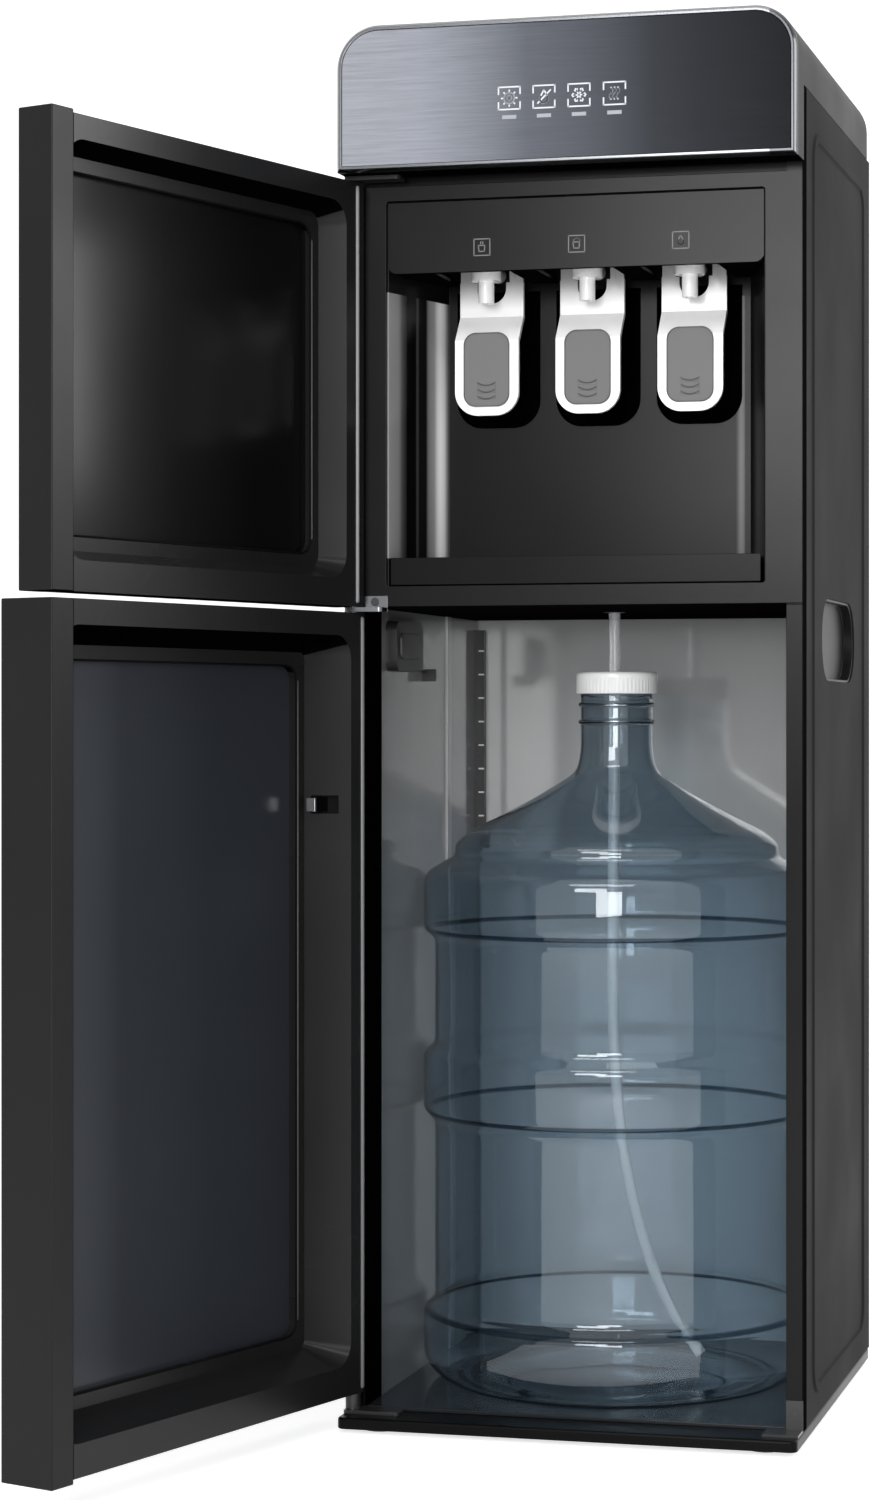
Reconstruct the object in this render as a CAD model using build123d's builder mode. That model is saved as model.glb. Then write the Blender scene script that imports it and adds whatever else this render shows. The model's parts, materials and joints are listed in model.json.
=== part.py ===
from build123d import *
import math
import os

os.makedirs("parts", exist_ok=True)

# ---------------------------------------------------------------- driving sizes, mm
width = 305.0  # across the side panels
cabinet_depth = 284.0  # cabinet without the head's overhang
overhang = 28.4  # head and base stand this far in front of the cabinet
foot_height = 3.0
foot_radius = 14.0
base_thickness = 7.5
body_height = 917.0  # top of the cooler, over the base's underside
skirt_drop = 47.0  # the cover's skirt ends this far under the top
head_height = 95.5
upper_frame_bottom = 538.5 / 917.0 * body_height
frame_drop = 101.0
sheet = 1.1
moulding = 2.5

post_width = 11.7
post_depth = 35.0
post_face = 9.0
panel_gap = 1.0

bay_side = 25.5  # plate left beside the bay's opening
bay_sill = 13.5
bay_drop = 111.0
bay_depth = 72.0
bay_back_width = 209.0 / 254.0 * (width - 2 * bay_side)
bay_wall = 2.0
pocket_width = 58.0
pocket_bottom_drop = 255.0
pocket_top_drop = 163.0
pocket_depth = 16.0
pocket_square = 30.0  # this much of each pocket's upper end has plain corners
hood_drop = 159.0
hood_inset = 1.5
hood_depth = 64.0

tap_pitch = 0.2736 * (width - 2 * bay_side)
tap_depth = 40.5  # nozzle axis behind the cabinet's front
nozzle_radius = 5.3
nozzle_bore = 3.3
nozzle_drop = 175.0
valve_radius = 10.0
valve_bottom_drop = 160.0
valve_height = 26.5
chamber_radius = 6.5
stem_radius = 2.0
stem_rise = 6.0
plug_radius = 5.2
pivot_drop = 140.0
pivot_depth = 54.5
pivot_pin_radius = 2.0
inlet_drop = 152.0
inlet_radius = 5.0
lever_width = 44.0
lever_drop = 159.0
lever_length = 90.5
lever_thickness = 3.2
lever_reach = 13.0  # the lower plate stands this far in front of the upper one
lever_bend_start = 24.0  # below the plate's upper edge
lever_bend_end = 41.0
notch_width = 20.0
notch_height = 14.0
cheek_thickness = 3.4
pad_width = 31.0
pad_height = 49.0
pad_thickness = 1.4
running_fit = 0.06
seat_gap = 0.3

tray_height = 18.0
tray_wall = 2.0
tray_clearance = 2.6
grille_thickness = 3.0
grille_slot = 4.0
grille_pitch = 9.0

door_gap = 2.4
hinge_inset = 5.0
pin_radius = 3.0
pin_reach = 8.0
hinge_plate = 3.0
door_open_angle = 108.5
door_glass = 4.0
edge_width = 19.0
upper_door_thickness = 26.0
upper_door_drop = 99.5
lower_door_thickness = 39.5
lower_door_bottom = 20.0
edge_overrun = 2.3
recess_draft = 20.0
catch_height = 408.0

wall_sheet = 2.0
compartment_back_gap = 10.0  # from the compartment's rear wall to the cabinet's back
floor_thickness = 2.5
grip_width = 140.0
grip_drop = 48.5
grip_height = 55.0
grip_start = 72.0
grip_depth = 8.2
bead_width = 8.0
bead_height = 1.6
bead_radius = 22.0

bottle_x = -2.5
bottle_side_room = 6.8
bottle_end_room = 3.0
bottle_ring_step = 8.0
bottle_wall = 1.6
neck_radius = 25.0
cap_radius = 28.5
cap_height = 15.0
cap_drop = 41.5
tube_radius = 4.0
tube_x = -4.0


hot_tank_radius = 46.0
hot_tank_room = 90.5  # from the tank's height to the height of the taps' inlets over the deck
cold_tank_share = 0.3333
insulation_share = 0.3738
insulation_gap = 6.0
insulation_room = 58.5
module_size = 40.0
module_thickness = 4.0
sink_share = 0.5953
sink_depth = 34.0
fin_count = 15
fan_share = 0.5477
fan_clearance = 11.0
fan_depth = 25.0
pump_radius = 19.0
pump_length = 66.0
hose_radius = 4.5

# ---------------------------------------------------------------- places worked out from them
half = width / 2
head_front = -(overhang + cabinet_depth) / 2
front = head_front + overhang  # the cabinet's front plane
back = front + cabinet_depth
base_low = foot_height
base_top = base_low + base_thickness


def high(level_over_base):
    return base_low + level_over_base


top = high(body_height)
frame_low = high(upper_frame_bottom)
frame_high = top - frame_drop
head_low = top - head_height
skirt_low = top - skirt_drop
bay_width = width - 2 * bay_side
bay_low = frame_low + bay_sill
bay_high = top - bay_drop
pocket_low = top - pocket_bottom_drop
pocket_high = top - pocket_top_drop
hood_low = top - hood_drop
nozzle_tip = top - nozzle_drop
valve_low = top - valve_bottom_drop
valve_high = valve_low + valve_height
pivot_z = top - pivot_drop
inlet_z = top - inlet_drop
lever_high = top - lever_drop
lever_low = lever_high - lever_length
bend_high = lever_high - lever_bend_start
bend_low = lever_high - lever_bend_end
upper_door_high = top - upper_door_drop
upper_door_low = frame_low - 0.2
lower_door_high = frame_low - 4.2
post_inner = half - post_width
floor_top = base_top + floor_thickness
ceiling_top = frame_low + wall_sheet + 1.0
compartment_depth = cabinet_depth - compartment_back_gap
rear_wall = front + compartment_depth
bottle_ring_radius = min(post_inner - bottle_side_room, compartment_depth / 2 - bottle_end_room)
bottle_body_radius = bottle_ring_radius - bottle_ring_step
bottle_axis_depth = compartment_depth / 2 + 1.0
tap_places = {"hot": -tap_pitch, "warm": 0.0, "cold": tap_pitch}


def facing_front(y):
    return Plane.XZ.offset(-y)


def facing_right(x):
    return Plane.YZ.offset(x)


def flat(z):
    return Plane.XY.offset(z)


def span(u0, u1, v0, v1, mode=Mode.ADD):
    """A rectangle from corner to corner in the sketch's own plane."""
    with Locations(((u0 + u1) / 2, (v0 + v1) / 2)):
        return Rectangle(u1 - u0, v1 - v0, mode=mode)


def rounded_span(u0, u1, v0, v1, radius, mode=Mode.ADD):
    with Locations(((u0 + u1) / 2, (v0 + v1) / 2)):
        return RectangleRounded(u1 - u0, v1 - v0, radius, mode=mode)


def block(x0, x1, y0, y1, z0, z1, mode=Mode.ADD):
    """A plain block from corner to corner, in the part that is being built."""
    with Locations(((x0 + x1) / 2, (y0 + y1) / 2, (z0 + z1) / 2)):
        return Box(x1 - x0, y1 - y0, z1 - z0, mode=mode)


def rod(x, y, z0, z1, radius, mode=Mode.ADD):
    """A round rod that stands upright."""
    with Locations((x, y, (z0 + z1) / 2)):
        return Cylinder(radius, z1 - z0, mode=mode)


def rod_y(x, z, y0, y1, radius, mode=Mode.ADD):
    """A round rod that runs from front to back."""
    with Locations((x, (y0 + y1) / 2, z)):
        return Cylinder(radius, y1 - y0, rotation=(90, 0, 0), mode=mode)


def rod_x(y, z, x0, x1, radius, mode=Mode.ADD):
    """A round rod that runs from left to right."""
    with Locations(((x0 + x1) / 2, y, z)):
        return Cylinder(radius, x1 - x0, rotation=(0, 90, 0), mode=mode)


def save(part, name):
    part.label = name
    export_step(part, "parts/" + name + ".step")


# ---------------------------------------------------------------- base and feet
foot_x = half - 24.0
foot_y = (back - head_front) / 2 - 24.0
rib = 4.0
pocket_edge = 42.0
cell_x = (width - 2 * pocket_edge + rib) / 3
cell_y = (back - head_front - 2 * pocket_edge + rib) / 3

with BuildPart() as base_plate:
    with BuildSketch(flat(base_low)):
        RectangleRounded(width, back - head_front, 5.0)
    extrude(amount=base_thickness)
    with BuildSketch(flat(base_low)):
        with GridLocations(cell_x, cell_y, 3, 3):
            Rectangle(cell_x - rib, cell_y - rib)
    extrude(amount=base_thickness - moulding, mode=Mode.SUBTRACT)
    rod(0, 0, base_low, base_top, foot_radius + 3.0)
    chamfer(base_plate.faces().sort_by(Axis.Z)[-1].outer_wire().edges(), 1.0)
save(base_plate.part, "base_plate")

with BuildPart() as base_feet:
    with BuildSketch(flat(0)):
        with GridLocations(2 * foot_x, 2 * foot_y, 2, 2):
            Circle(foot_radius)
        Circle(foot_radius)
    extrude(amount=foot_height)
    chamfer(base_feet.faces().group_by(Axis.Z)[0].edges(), 0.8)
save(base_feet.part, "base_feet")

# ---------------------------------------------------------------- side panels with bead and grip
panel_start = front + post_face + panel_gap
bead_front = front + 31.0
bead_back = back - 28.0
bead_low = high(22.0)
bead_high = top - 68.0
grip_y0 = front + grip_start
grip_y1 = grip_y0 + grip_width
grip_z0 = frame_low - grip_drop
grip_z1 = grip_z0 + grip_height
grip_radius = 26.0
panel_back = back - sheet
rear_flange = 12.0


def side_panel(side):
    """Pressed sheet with a raised bead, a grip opening and a flange along its rear edge."""
    inner = half - sheet
    with BuildPart() as panel:
        with BuildSketch(facing_right(inner)):
            span(panel_start, panel_back, base_top, skirt_low)
            rounded_span(grip_y0, grip_y1, grip_z0, grip_z1, grip_radius, mode=Mode.SUBTRACT)
        extrude(amount=sheet)
        with BuildSketch(facing_right(half)):
            rounded_span(bead_front, bead_back, bead_low, bead_high, bead_radius)
            rounded_span(
                bead_front + bead_width,
                bead_back - bead_width,
                bead_low + bead_width,
                bead_high - bead_width,
                bead_radius - bead_width,
                mode=Mode.SUBTRACT,
            )
        extrude(amount=bead_height, taper=45)
        block(inner - rear_flange, inner, panel_back - sheet, panel_back, base_top, skirt_low)
    return panel.part if side > 0 else mirror(panel.part, Plane.YZ)


save(side_panel(1), "side_panel_right")
save(side_panel(-1), "side_panel_left")

cup_wall = 1.5


def grip_cup():
    """A moulded finger cup behind the side panel's grip opening, deeper at its top."""
    mouth = half - sheet
    with BuildPart() as cup:
        with BuildSketch(facing_right(mouth)):
            rounded_span(grip_y0 - 5, grip_y1 + 5, grip_z0 - 1.2, grip_z1 + 1.2, grip_radius)
        extrude(amount=-cup_wall)
        with BuildSketch(facing_right(mouth)):
            rounded_span(grip_y0, grip_y1, grip_z0, grip_z1, grip_radius)
        extrude(amount=-grip_depth)
        with BuildSketch(facing_right(mouth)):
            rounded_span(
                grip_y0 + cup_wall,
                grip_y1 - cup_wall,
                grip_z0 + cup_wall,
                grip_z1 - cup_wall,
                grip_radius - cup_wall,
            )
        extrude(amount=-(grip_depth - cup_wall), mode=Mode.SUBTRACT)
    return cup.part


with BuildPart() as grip_cups:
    add(grip_cup())
    add(mirror(grip_cup(), Plane.YZ))
save(grip_cups.part, "grip_cups")

# ---------------------------------------------------------------- rear panel
louvre_width = 84.0
louvre_count = 10
louvre_pitch = 9.0
louvre_height = 4.0
insulation_size = insulation_share * width
insulation_height = inlet_z - frame_low - insulation_room
hot_tank_height = inlet_z - frame_low - hot_tank_room
fan_size = fan_share * insulation_height
sink_size = sink_share * insulation_height
fan_x = insulation_size * 2 / 3
fan_z = ceiling_top + insulation_height / 2
switch_x = -half + 48.5
switch_z = top - 117.0
switch_pitch = 30.0
switch_frame_width = 66.0
switch_frame_height = 30.0
gland_x = switch_x
gland_z = top - 165.0
drain_x = switch_x
drain_z = ceiling_top + 13.0
drain_radius = 7.0

with BuildPart() as back_panel:
    with BuildSketch(facing_front(back)):
        span(-half, half, base_top, skirt_low)
        with Locations((fan_x, fan_z)):
            with GridLocations(0, louvre_pitch, 1, louvre_count):
                SlotOverall(louvre_width, louvre_height, mode=Mode.SUBTRACT)
        with Locations((0, high(120.0))):
            with GridLocations(120.0, louvre_pitch, 2, 5):
                SlotOverall(louvre_width, louvre_height, mode=Mode.SUBTRACT)
        with Locations((switch_x, switch_z)):
            Rectangle(switch_frame_width - 8, switch_frame_height - 8, mode=Mode.SUBTRACT)
        with Locations((gland_x, gland_z)):
            Circle(9.0, mode=Mode.SUBTRACT)
        with Locations((drain_x, drain_z)):
            Circle(drain_radius + 0.2, mode=Mode.SUBTRACT)
    extrude(amount=sheet)
save(back_panel.part, "back_panel")

# ---------------------------------------------------------------- front frame with its posts
upper_plate = 3.0
closing_step = 3.0

with BuildPart() as front_frame:
    with BuildSketch(flat(base_top)):
        for side in (-1, 1):
            span(*sorted((side * post_inner, side * half)), front, front + post_face)
            behind_panel = half - sheet - 0.1
            span(*sorted((side * post_inner, side * behind_panel)), front + post_face, front + post_depth)
    extrude(amount=skirt_low - 2.0 - base_top)
    block(-post_inner, post_inner, front, front + upper_plate, frame_low, frame_high)
    block(
        -post_inner,
        post_inner,
        front + closing_step,
        front + closing_step + upper_plate,
        frame_high - 2.0,
        skirt_low - 2.0,
    )
    with BuildSketch(facing_front(front)):
        rounded_span(-bay_width / 2, bay_width / 2, bay_low, bay_high, 2.0)
    extrude(amount=-(upper_plate + closing_step + 1.0), mode=Mode.SUBTRACT)
    with BuildSketch(facing_front(front)):
        for side in (-1, 1):
            span(*sorted((side * post_inner, side * half)), frame_low - 1.0, frame_low)
    extrude(amount=-0.8, mode=Mode.SUBTRACT)
save(front_frame.part, "front_frame")

# ---------------------------------------------------------------- top cover and head
crown_radius = 28.0
cover_wall = moulding
rear_radius = 12.0
trim_width = 3.7
trim_depth = 6.0
panel_thickness = 3.0


def head_outline(y, low, inset):
    """The head seen from the front: square below, with two large round corners above."""
    left = -half + inset
    right = half - inset
    crest = top - inset
    radius = crown_radius - inset
    with BuildSketch(facing_front(y)) as outline:
        with BuildLine():
            Polyline((left, crest - radius), (left, low), (right, low), (right, crest - radius))
            RadiusArc((right, crest - radius), (right - radius, crest), -radius)
            Line((right - radius, crest), (left + radius, crest))
            RadiusArc((left + radius, crest), (left, crest - radius), -radius)
        make_face()
    return outline.sketch


def cover_volume(inset, low, reach):
    """The cover's bulk, rounded along its rear edge, drawn in by an inset."""
    with BuildPart() as volume:
        extrude(head_outline(back - inset, low, inset), amount=reach)
        rear_edges = volume.faces().sort_by(Axis.Y)[-1].edges()
        fillet(rear_edges.filter_by(Axis.X).sort_by(Axis.Z)[-1], rear_radius - inset)
    return volume.part


with BuildPart() as top_cover:
    add(cover_volume(0, skirt_low, back - head_front - trim_depth))
    extrude(head_outline(front, head_low, 0), amount=overhang - trim_depth)
    add(cover_volume(cover_wall, skirt_low - 1.0, back - cover_wall - front), mode=Mode.SUBTRACT)
    extrude(head_outline(front, head_low + cover_wall, cover_wall), amount=overhang, mode=Mode.SUBTRACT)
save(top_cover.part, "top_cover")

with BuildPart() as head_trim:
    extrude(head_outline(head_front + trim_depth, head_low, 0), amount=trim_depth)
    chamfer(head_trim.faces().sort_by(Axis.Y)[0].outer_wire().edges(), trim_depth / 2, trim_width / 2)
    extrude(
        head_outline(head_front + trim_depth, head_low + trim_width, trim_width),
        amount=trim_depth,
        mode=Mode.SUBTRACT,
    )
save(head_trim.part, "head_trim")

with BuildPart() as head_panel:
    extrude(
        head_outline(head_front + 0.6 + panel_thickness, head_low + trim_width + 0.1, trim_width + 0.1),
        amount=panel_thickness,
    )
save(head_panel.part, "head_panel")

# ---------------------------------------------------------------- dispensing bay
bay_back_high = bay_high - 6.0
liner_start = front + upper_plate


def bay_section(y, inset):
    """The bay's hollow cut across at one depth, drawn in by an inset."""
    share = (y - front) / bay_depth
    half_width = bay_width / 2 + (bay_back_width - bay_width) / 2 * share - inset
    low = bay_low + inset
    tall = bay_high + (bay_back_high - bay_high) * share - inset
    with BuildSketch(facing_front(y)) as section:
        span(-half_width, half_width, low, tall)
    return section.sketch


def bay_volume(inset, start, end):
    """The bay's drafted hollow from one depth to another."""
    with BuildPart() as hollow:
        loft(sections=[bay_section(start, inset), bay_section(end, inset)])
    return hollow.part


def pockets(inset, end):
    """The three round-cornered pockets behind the levers, drawn in by an inset."""
    with BuildPart() as group:
        with BuildSketch(facing_front(front + bay_depth - 1.0)):
            for x in tap_places.values():
                rounded_span(
                    x - pocket_width / 2 + inset,
                    x + pocket_width / 2 - inset,
                    pocket_low + inset,
                    pocket_high - inset,
                    18.0 - inset,
                )
                span(
                    x - pocket_width / 2 + inset,
                    x + pocket_width / 2 - inset,
                    pocket_high - pocket_square + inset,
                    pocket_high - inset,
                )
        extrude(amount=-(end - front - bay_depth + 1.0))
    return group.part


bay_back = front + bay_depth
pocket_back = bay_back + pocket_depth

with BuildPart() as bay_liner:
    add(bay_volume(-bay_wall, liner_start, bay_back + bay_wall))
    add(pockets(-bay_wall, pocket_back + bay_wall))
    with BuildSketch(facing_front(liner_start)):
        span(-post_inner + 1, post_inner - 1, frame_low + 4.0, frame_high - 3.0)
    extrude(amount=-bay_wall)
    add(bay_volume(0, liner_start, bay_back), mode=Mode.SUBTRACT)
    add(pockets(0, pocket_back), mode=Mode.SUBTRACT)
    for x in tap_places.values():
        rod_y(x, inlet_z, bay_back - 2.0, bay_back + bay_wall + 2.0, inlet_radius + 0.1, mode=Mode.SUBTRACT)
save(bay_liner.part, "bay_liner")

# ---------------------------------------------------------------- tap hood
hood_wall = 2.5
hood_front = front + hood_inset
hood_back = front + hood_depth
hood_top = bay_high - 1.0
hood_corner = 8.0
slot_half = lever_width / 2 + 4.0

with BuildPart() as tap_hood:
    block(-half, half, hood_front, hood_back, hood_low, hood_top)
    block(-half, half, hood_front + hood_wall, back, hood_low + hood_wall, top, mode=Mode.SUBTRACT)
    add(bay_volume(0.4, front + 1.0, bay_back - 1.0), mode=Mode.INTERSECT)
    with BuildSketch(facing_front(front)):
        rounded_span(-bay_width / 2, bay_width / 2, hood_low, top, hood_corner)
    extrude(amount=-bay_depth, mode=Mode.INTERSECT)
    for x in tap_places.values():
        block(
            x - slot_half,
            x + slot_half,
            hood_front + hood_wall,
            back,
            hood_low - 1.0,
            hood_low + hood_wall + 0.5,
            mode=Mode.SUBTRACT,
        )
save(tap_hood.part, "tap_hood")

# ---------------------------------------------------------------- taps
tap_y = front + tap_depth
pivot_y = front + pivot_depth
chamber_low = valve_low + 5.0
chamber_high = valve_high - 7.0
stem_top = valve_high + stem_rise
plug_height = 5.0
inlet_end = bay_back + bay_wall + 12.0
ear_half = 12.2
trunnion_end = ear_half + seat_gap + cheek_thickness + 0.6
cheek_inner = ear_half + seat_gap
cheek_outer = cheek_inner + cheek_thickness


def tap_body(x):
    """Valve chamber with its nozzle, rear inlet, and the ears that carry the lever."""
    with BuildPart() as tap:
        rod(x, tap_y, valve_low, valve_high, valve_radius)
        rod(x, tap_y, nozzle_tip, valve_low, nozzle_radius)
        rod_y(x, inlet_z, tap_y, inlet_end, inlet_radius)
        block(x - ear_half, x + ear_half, tap_y, pivot_y + 3.5, pivot_z - 3.5, pivot_z + 3.5)
        rod_x(pivot_y, pivot_z, x - trunnion_end, x + trunnion_end, pivot_pin_radius)
        rod(x, tap_y, chamber_low, chamber_high, chamber_radius, mode=Mode.SUBTRACT)
        rod(x, tap_y, chamber_high, valve_high, stem_radius + running_fit, mode=Mode.SUBTRACT)
        rod(x, tap_y, nozzle_tip, chamber_low, nozzle_bore, mode=Mode.SUBTRACT)
        rod_y(x, inlet_z, tap_y, inlet_end, nozzle_bore - 0.8, mode=Mode.SUBTRACT)
    return tap.part


def valve_stem(x):
    """The spring-closed plunger that the lever's finger pushes down."""
    plug_low = chamber_high - 4.0 - plug_height
    with BuildPart() as stem:
        rod(x, tap_y, plug_low + plug_height, stem_top, stem_radius)
        rod(x, tap_y, plug_low, plug_low + plug_height, plug_radius)
    return stem.part


pad_sink = 1.0
pad_corner = 8.0
pad_centre = lever_low + pad_height / 2 + 6.2
lever_corner = 16.0
lever_back = front + 57.5  # rear face of the upper plate
paddle_back = lever_back - lever_reach
finger_low = stem_top + 0.05
finger_thickness = 3.0


def lever_outline():
    """The plate seen from the front: square above with the nozzle's notch, round-cornered below."""
    w = lever_width / 2
    r = lever_corner
    low = lever_low
    tall = lever_high
    with BuildSketch(Plane.XZ) as outline:
        with BuildLine():
            Polyline((-w, low + r), (-w, tall), (w, tall), (w, low + r))
            RadiusArc((w, low + r), (w - r, low), r)
            Line((w - r, low), (r - w, low))
            RadiusArc((r - w, low), (-w, low + r), r)
        make_face()
        with Locations((0, tall)):
            SlotOverall(2 * (notch_height), notch_width, rotation=90, mode=Mode.SUBTRACT)
    return outline.sketch


def tap_lever(x):
    """A push plate stepped forward below its notch, with cheeks and a finger over the stem."""
    w = lever_width / 2
    with BuildPart() as lever:
        with BuildSketch(facing_right(x - w)):
            with BuildLine():
                Polyline(
                    (lever_back, lever_high),
                    (lever_back, bend_high),
                    (paddle_back, bend_low),
                    (paddle_back, lever_low),
                    (paddle_back - lever_thickness, lever_low),
                    (paddle_back - lever_thickness, bend_low + 1.0),
                    (lever_back - lever_thickness, bend_high + 1.0),
                    (lever_back - lever_thickness, lever_high),
                    close=True,
                )
            make_face()
        extrude(amount=lever_width)
        extrude(Pos(x, 0, 0) * lever_outline(), amount=half, both=True, mode=Mode.INTERSECT)
        with BuildSketch(facing_front(paddle_back - lever_thickness)):
            with Locations((x, pad_centre)):
                RectangleRounded(pad_width + 0.2, pad_height + 0.2, pad_corner + 0.1)
        extrude(amount=-pad_sink, mode=Mode.SUBTRACT)
        for side in (-1, 1):
            x0, x1 = sorted((x + side * cheek_inner, x + side * cheek_outer))
            with BuildSketch(facing_right(x0)):
                with BuildLine():
                    Polyline(
                        (lever_back - lever_thickness, lever_high - 1.0),
                        (lever_back - lever_thickness - 1.0, pivot_z - 3.0),
                        (tap_y - 3.0, finger_low),
                        (tap_y - 3.0, finger_low + finger_thickness),
                        (pivot_y + 3.0, finger_low + finger_thickness),
                        (pivot_y + 5.0, pivot_z + 2.0),
                        (pivot_y + 5.0, pivot_z - 4.0),
                        (lever_back, lever_high - 1.0),
                        close=True,
                    )
                make_face()
            extrude(amount=x1 - x0)
        block(
            x - cheek_outer,
            x + cheek_outer,
            tap_y - 3.0,
            tap_y + 3.0,
            finger_low,
            finger_low + finger_thickness,
        )
        rod_x(
            pivot_y,
            pivot_z,
            x - cheek_outer - 1,
            x + cheek_outer + 1,
            pivot_pin_radius + running_fit,
            mode=Mode.SUBTRACT,
        )
    return lever.part


def lever_pad(x):
    """The soft grey pad let into the plate, with three raised grip lines."""
    pad_face = paddle_back - lever_thickness + pad_sink
    with BuildPart() as pad:
        with BuildSketch(facing_front(pad_face)):
            with Locations((x, pad_centre)):
                RectangleRounded(pad_width, pad_height, pad_corner)
        extrude(amount=pad_thickness)
        with BuildSketch(facing_front(pad_face - pad_thickness)):
            with Locations((x, pad_centre - 15.0)):
                with GridLocations(0, 4.0, 1, 3):
                    SlotOverall(13.0, 1.2)
        extrude(amount=0.4)
    return pad.part


for name, x in tap_places.items():
    save(tap_body(x), "tap_body_" + name)
    save(valve_stem(x), "valve_stem_" + name)
    save(tap_lever(x), "tap_lever_" + name)
    save(lever_pad(x), "lever_pad_" + name)

# ---------------------------------------------------------------- drip tray and grille
tray_low = bay_low + seat_gap + 0.4
tray_high = tray_low + tray_height
tray_front = front + 0.6
tray_back = bay_back - 4.0


def tray_outline(z, inset, y_inset):
    """The tray's plan at one height: it narrows to the rear as the bay does."""
    slope = (bay_width - bay_back_width) / 2 / bay_depth
    y0 = tray_front + y_inset
    y1 = tray_back - y_inset
    side0 = bay_width / 2 - slope * (y0 - front) - tray_clearance - inset
    side1 = bay_width / 2 - slope * (y1 - front) - tray_clearance - inset
    with BuildSketch(flat(z)) as plan:
        with BuildLine():
            Polyline((-side0, y0), (side0, y0), (side1, y1), (-side1, y1), close=True)
        make_face()
    return plan.sketch


with BuildPart() as drip_tray:
    extrude(tray_outline(tray_low, 0, 0), amount=tray_height)
    extrude(
        tray_outline(tray_low + tray_wall, tray_wall * 2, tray_wall),
        amount=tray_height,
        mode=Mode.SUBTRACT,
    )
    extrude(
        tray_outline(tray_high - grille_thickness, tray_wall, tray_wall / 2),
        amount=grille_thickness,
        mode=Mode.SUBTRACT,
    )
save(drip_tray.part, "drip_tray")

slot_rows = int((tray_back - tray_front - 16.0) / grille_pitch)
slot_length = bay_back_width / 3 - 12.0
grille_low = tray_high - grille_thickness + 0.05

with BuildPart() as drip_grille:
    extrude(
        tray_outline(grille_low, tray_wall + seat_gap, tray_wall / 2 + seat_gap),
        amount=grille_thickness - 0.1,
    )
    with BuildSketch(flat(grille_low)):
        with Locations((0, (tray_front + tray_back) / 2)):
            with GridLocations(slot_length + 8.0, grille_pitch, 3, slot_rows):
                Rectangle(slot_length, grille_slot)
    extrude(amount=grille_thickness, mode=Mode.SUBTRACT)
save(drip_grille.part, "drip_grille")

# ---------------------------------------------------------------- bottle compartment
liner_outer = post_inner + wall_sheet
liner_front = front + post_depth
wall_rib_y = rear_wall - 81.0
wall_rib_width = 10.0
wall_rib_rise = 2.0

with BuildPart() as compartment_liner:
    with BuildSketch(flat(base_top)):
        span(-liner_outer, liner_outer, liner_front, rear_wall + wall_sheet)
        span(-post_inner, post_inner, liner_front, rear_wall, mode=Mode.SUBTRACT)
    extrude(amount=frame_low - base_top)
    block(
        -post_inner,
        -post_inner + wall_rib_rise,
        wall_rib_y - wall_rib_width / 2,
        wall_rib_y + wall_rib_width / 2,
        floor_top + seat_gap,
        frame_low,
    )
save(compartment_liner.part, "compartment_liner")

gland_hole = 8.0
tube_y = front + bottle_axis_depth

with BuildPart() as compartment_ceiling:
    with BuildSketch(flat(frame_low)):
        span(-post_inner + 0.2, post_inner - 0.2, front + upper_plate, liner_front + 1.0)
        span(-liner_outer, liner_outer, liner_front + 1.0, rear_wall + wall_sheet)
        with Locations((tube_x, tube_y)):
            Circle(gland_hole, mode=Mode.SUBTRACT)
    extrude(amount=ceiling_top - frame_low)
save(compartment_ceiling.part, "compartment_ceiling")

with BuildPart() as compartment_floor:
    block(-post_inner + 0.3, post_inner - 0.3, front + 0.3, rear_wall - 0.3, base_top, floor_top)
    with BuildSketch(flat(floor_top)):
        with Locations((bottle_x, tube_y)):
            Circle(bottle_ring_radius - 28.0)
            Circle(bottle_ring_radius - 31.0, mode=Mode.SUBTRACT)
    extrude(amount=-1.0, mode=Mode.SUBTRACT)
save(compartment_floor.part, "compartment_floor")

switch_box_y0 = front + 43.0
switch_box_y1 = front + 106.0
switch_box_low = frame_low - 41.5
switch_box_high = frame_low - 7.5
strip_length = 151.0
strip_mid = switch_box_high - strip_length / 2
switch_box_depth = 8.0
hook_y = switch_box_y1 + 26.0
hook_thickness = 2.5

# the marked strip stands in the rear corner; the switch box and the hose hook are on the left wall
with BuildPart() as compartment_fittings:
    block(-post_inner, -post_inner + 7.0, rear_wall - 6.0, rear_wall, switch_box_high - strip_length, switch_box_high)
    with BuildSketch(facing_front(rear_wall - 6.0)):
        with Locations((-post_inner + 3.5, strip_mid)):
            with GridLocations(0, 36.0, 1, 4):
                Rectangle(3.0, 1.6)
    extrude(amount=0.3)
    with BuildSketch(facing_right(-post_inner)):
        rounded_span(switch_box_y0, switch_box_y1, switch_box_low, switch_box_high, 7.0)
    extrude(amount=switch_box_depth)
    with BuildSketch(facing_right(-post_inner + switch_box_depth)):
        rounded_span(
            switch_box_y0 + 8.0,
            switch_box_y1 - 8.0,
            switch_box_low + 8.0,
            switch_box_high - 8.0,
            4.0,
        )
    extrude(amount=1.2, taper=20)
    block(
        -post_inner,
        -post_inner + 3.0,
        switch_box_y1 - 2.0,
        hook_y,
        switch_box_low,
        switch_box_low + hook_thickness,
    )
    block(
        -post_inner,
        -post_inner + 10.0,
        hook_y - hook_thickness,
        hook_y,
        switch_box_low - 6.0,
        switch_box_low + hook_thickness,
    )
save(compartment_fittings.part, "compartment_fittings")

gland_top = ceiling_top + 10.0

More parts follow.
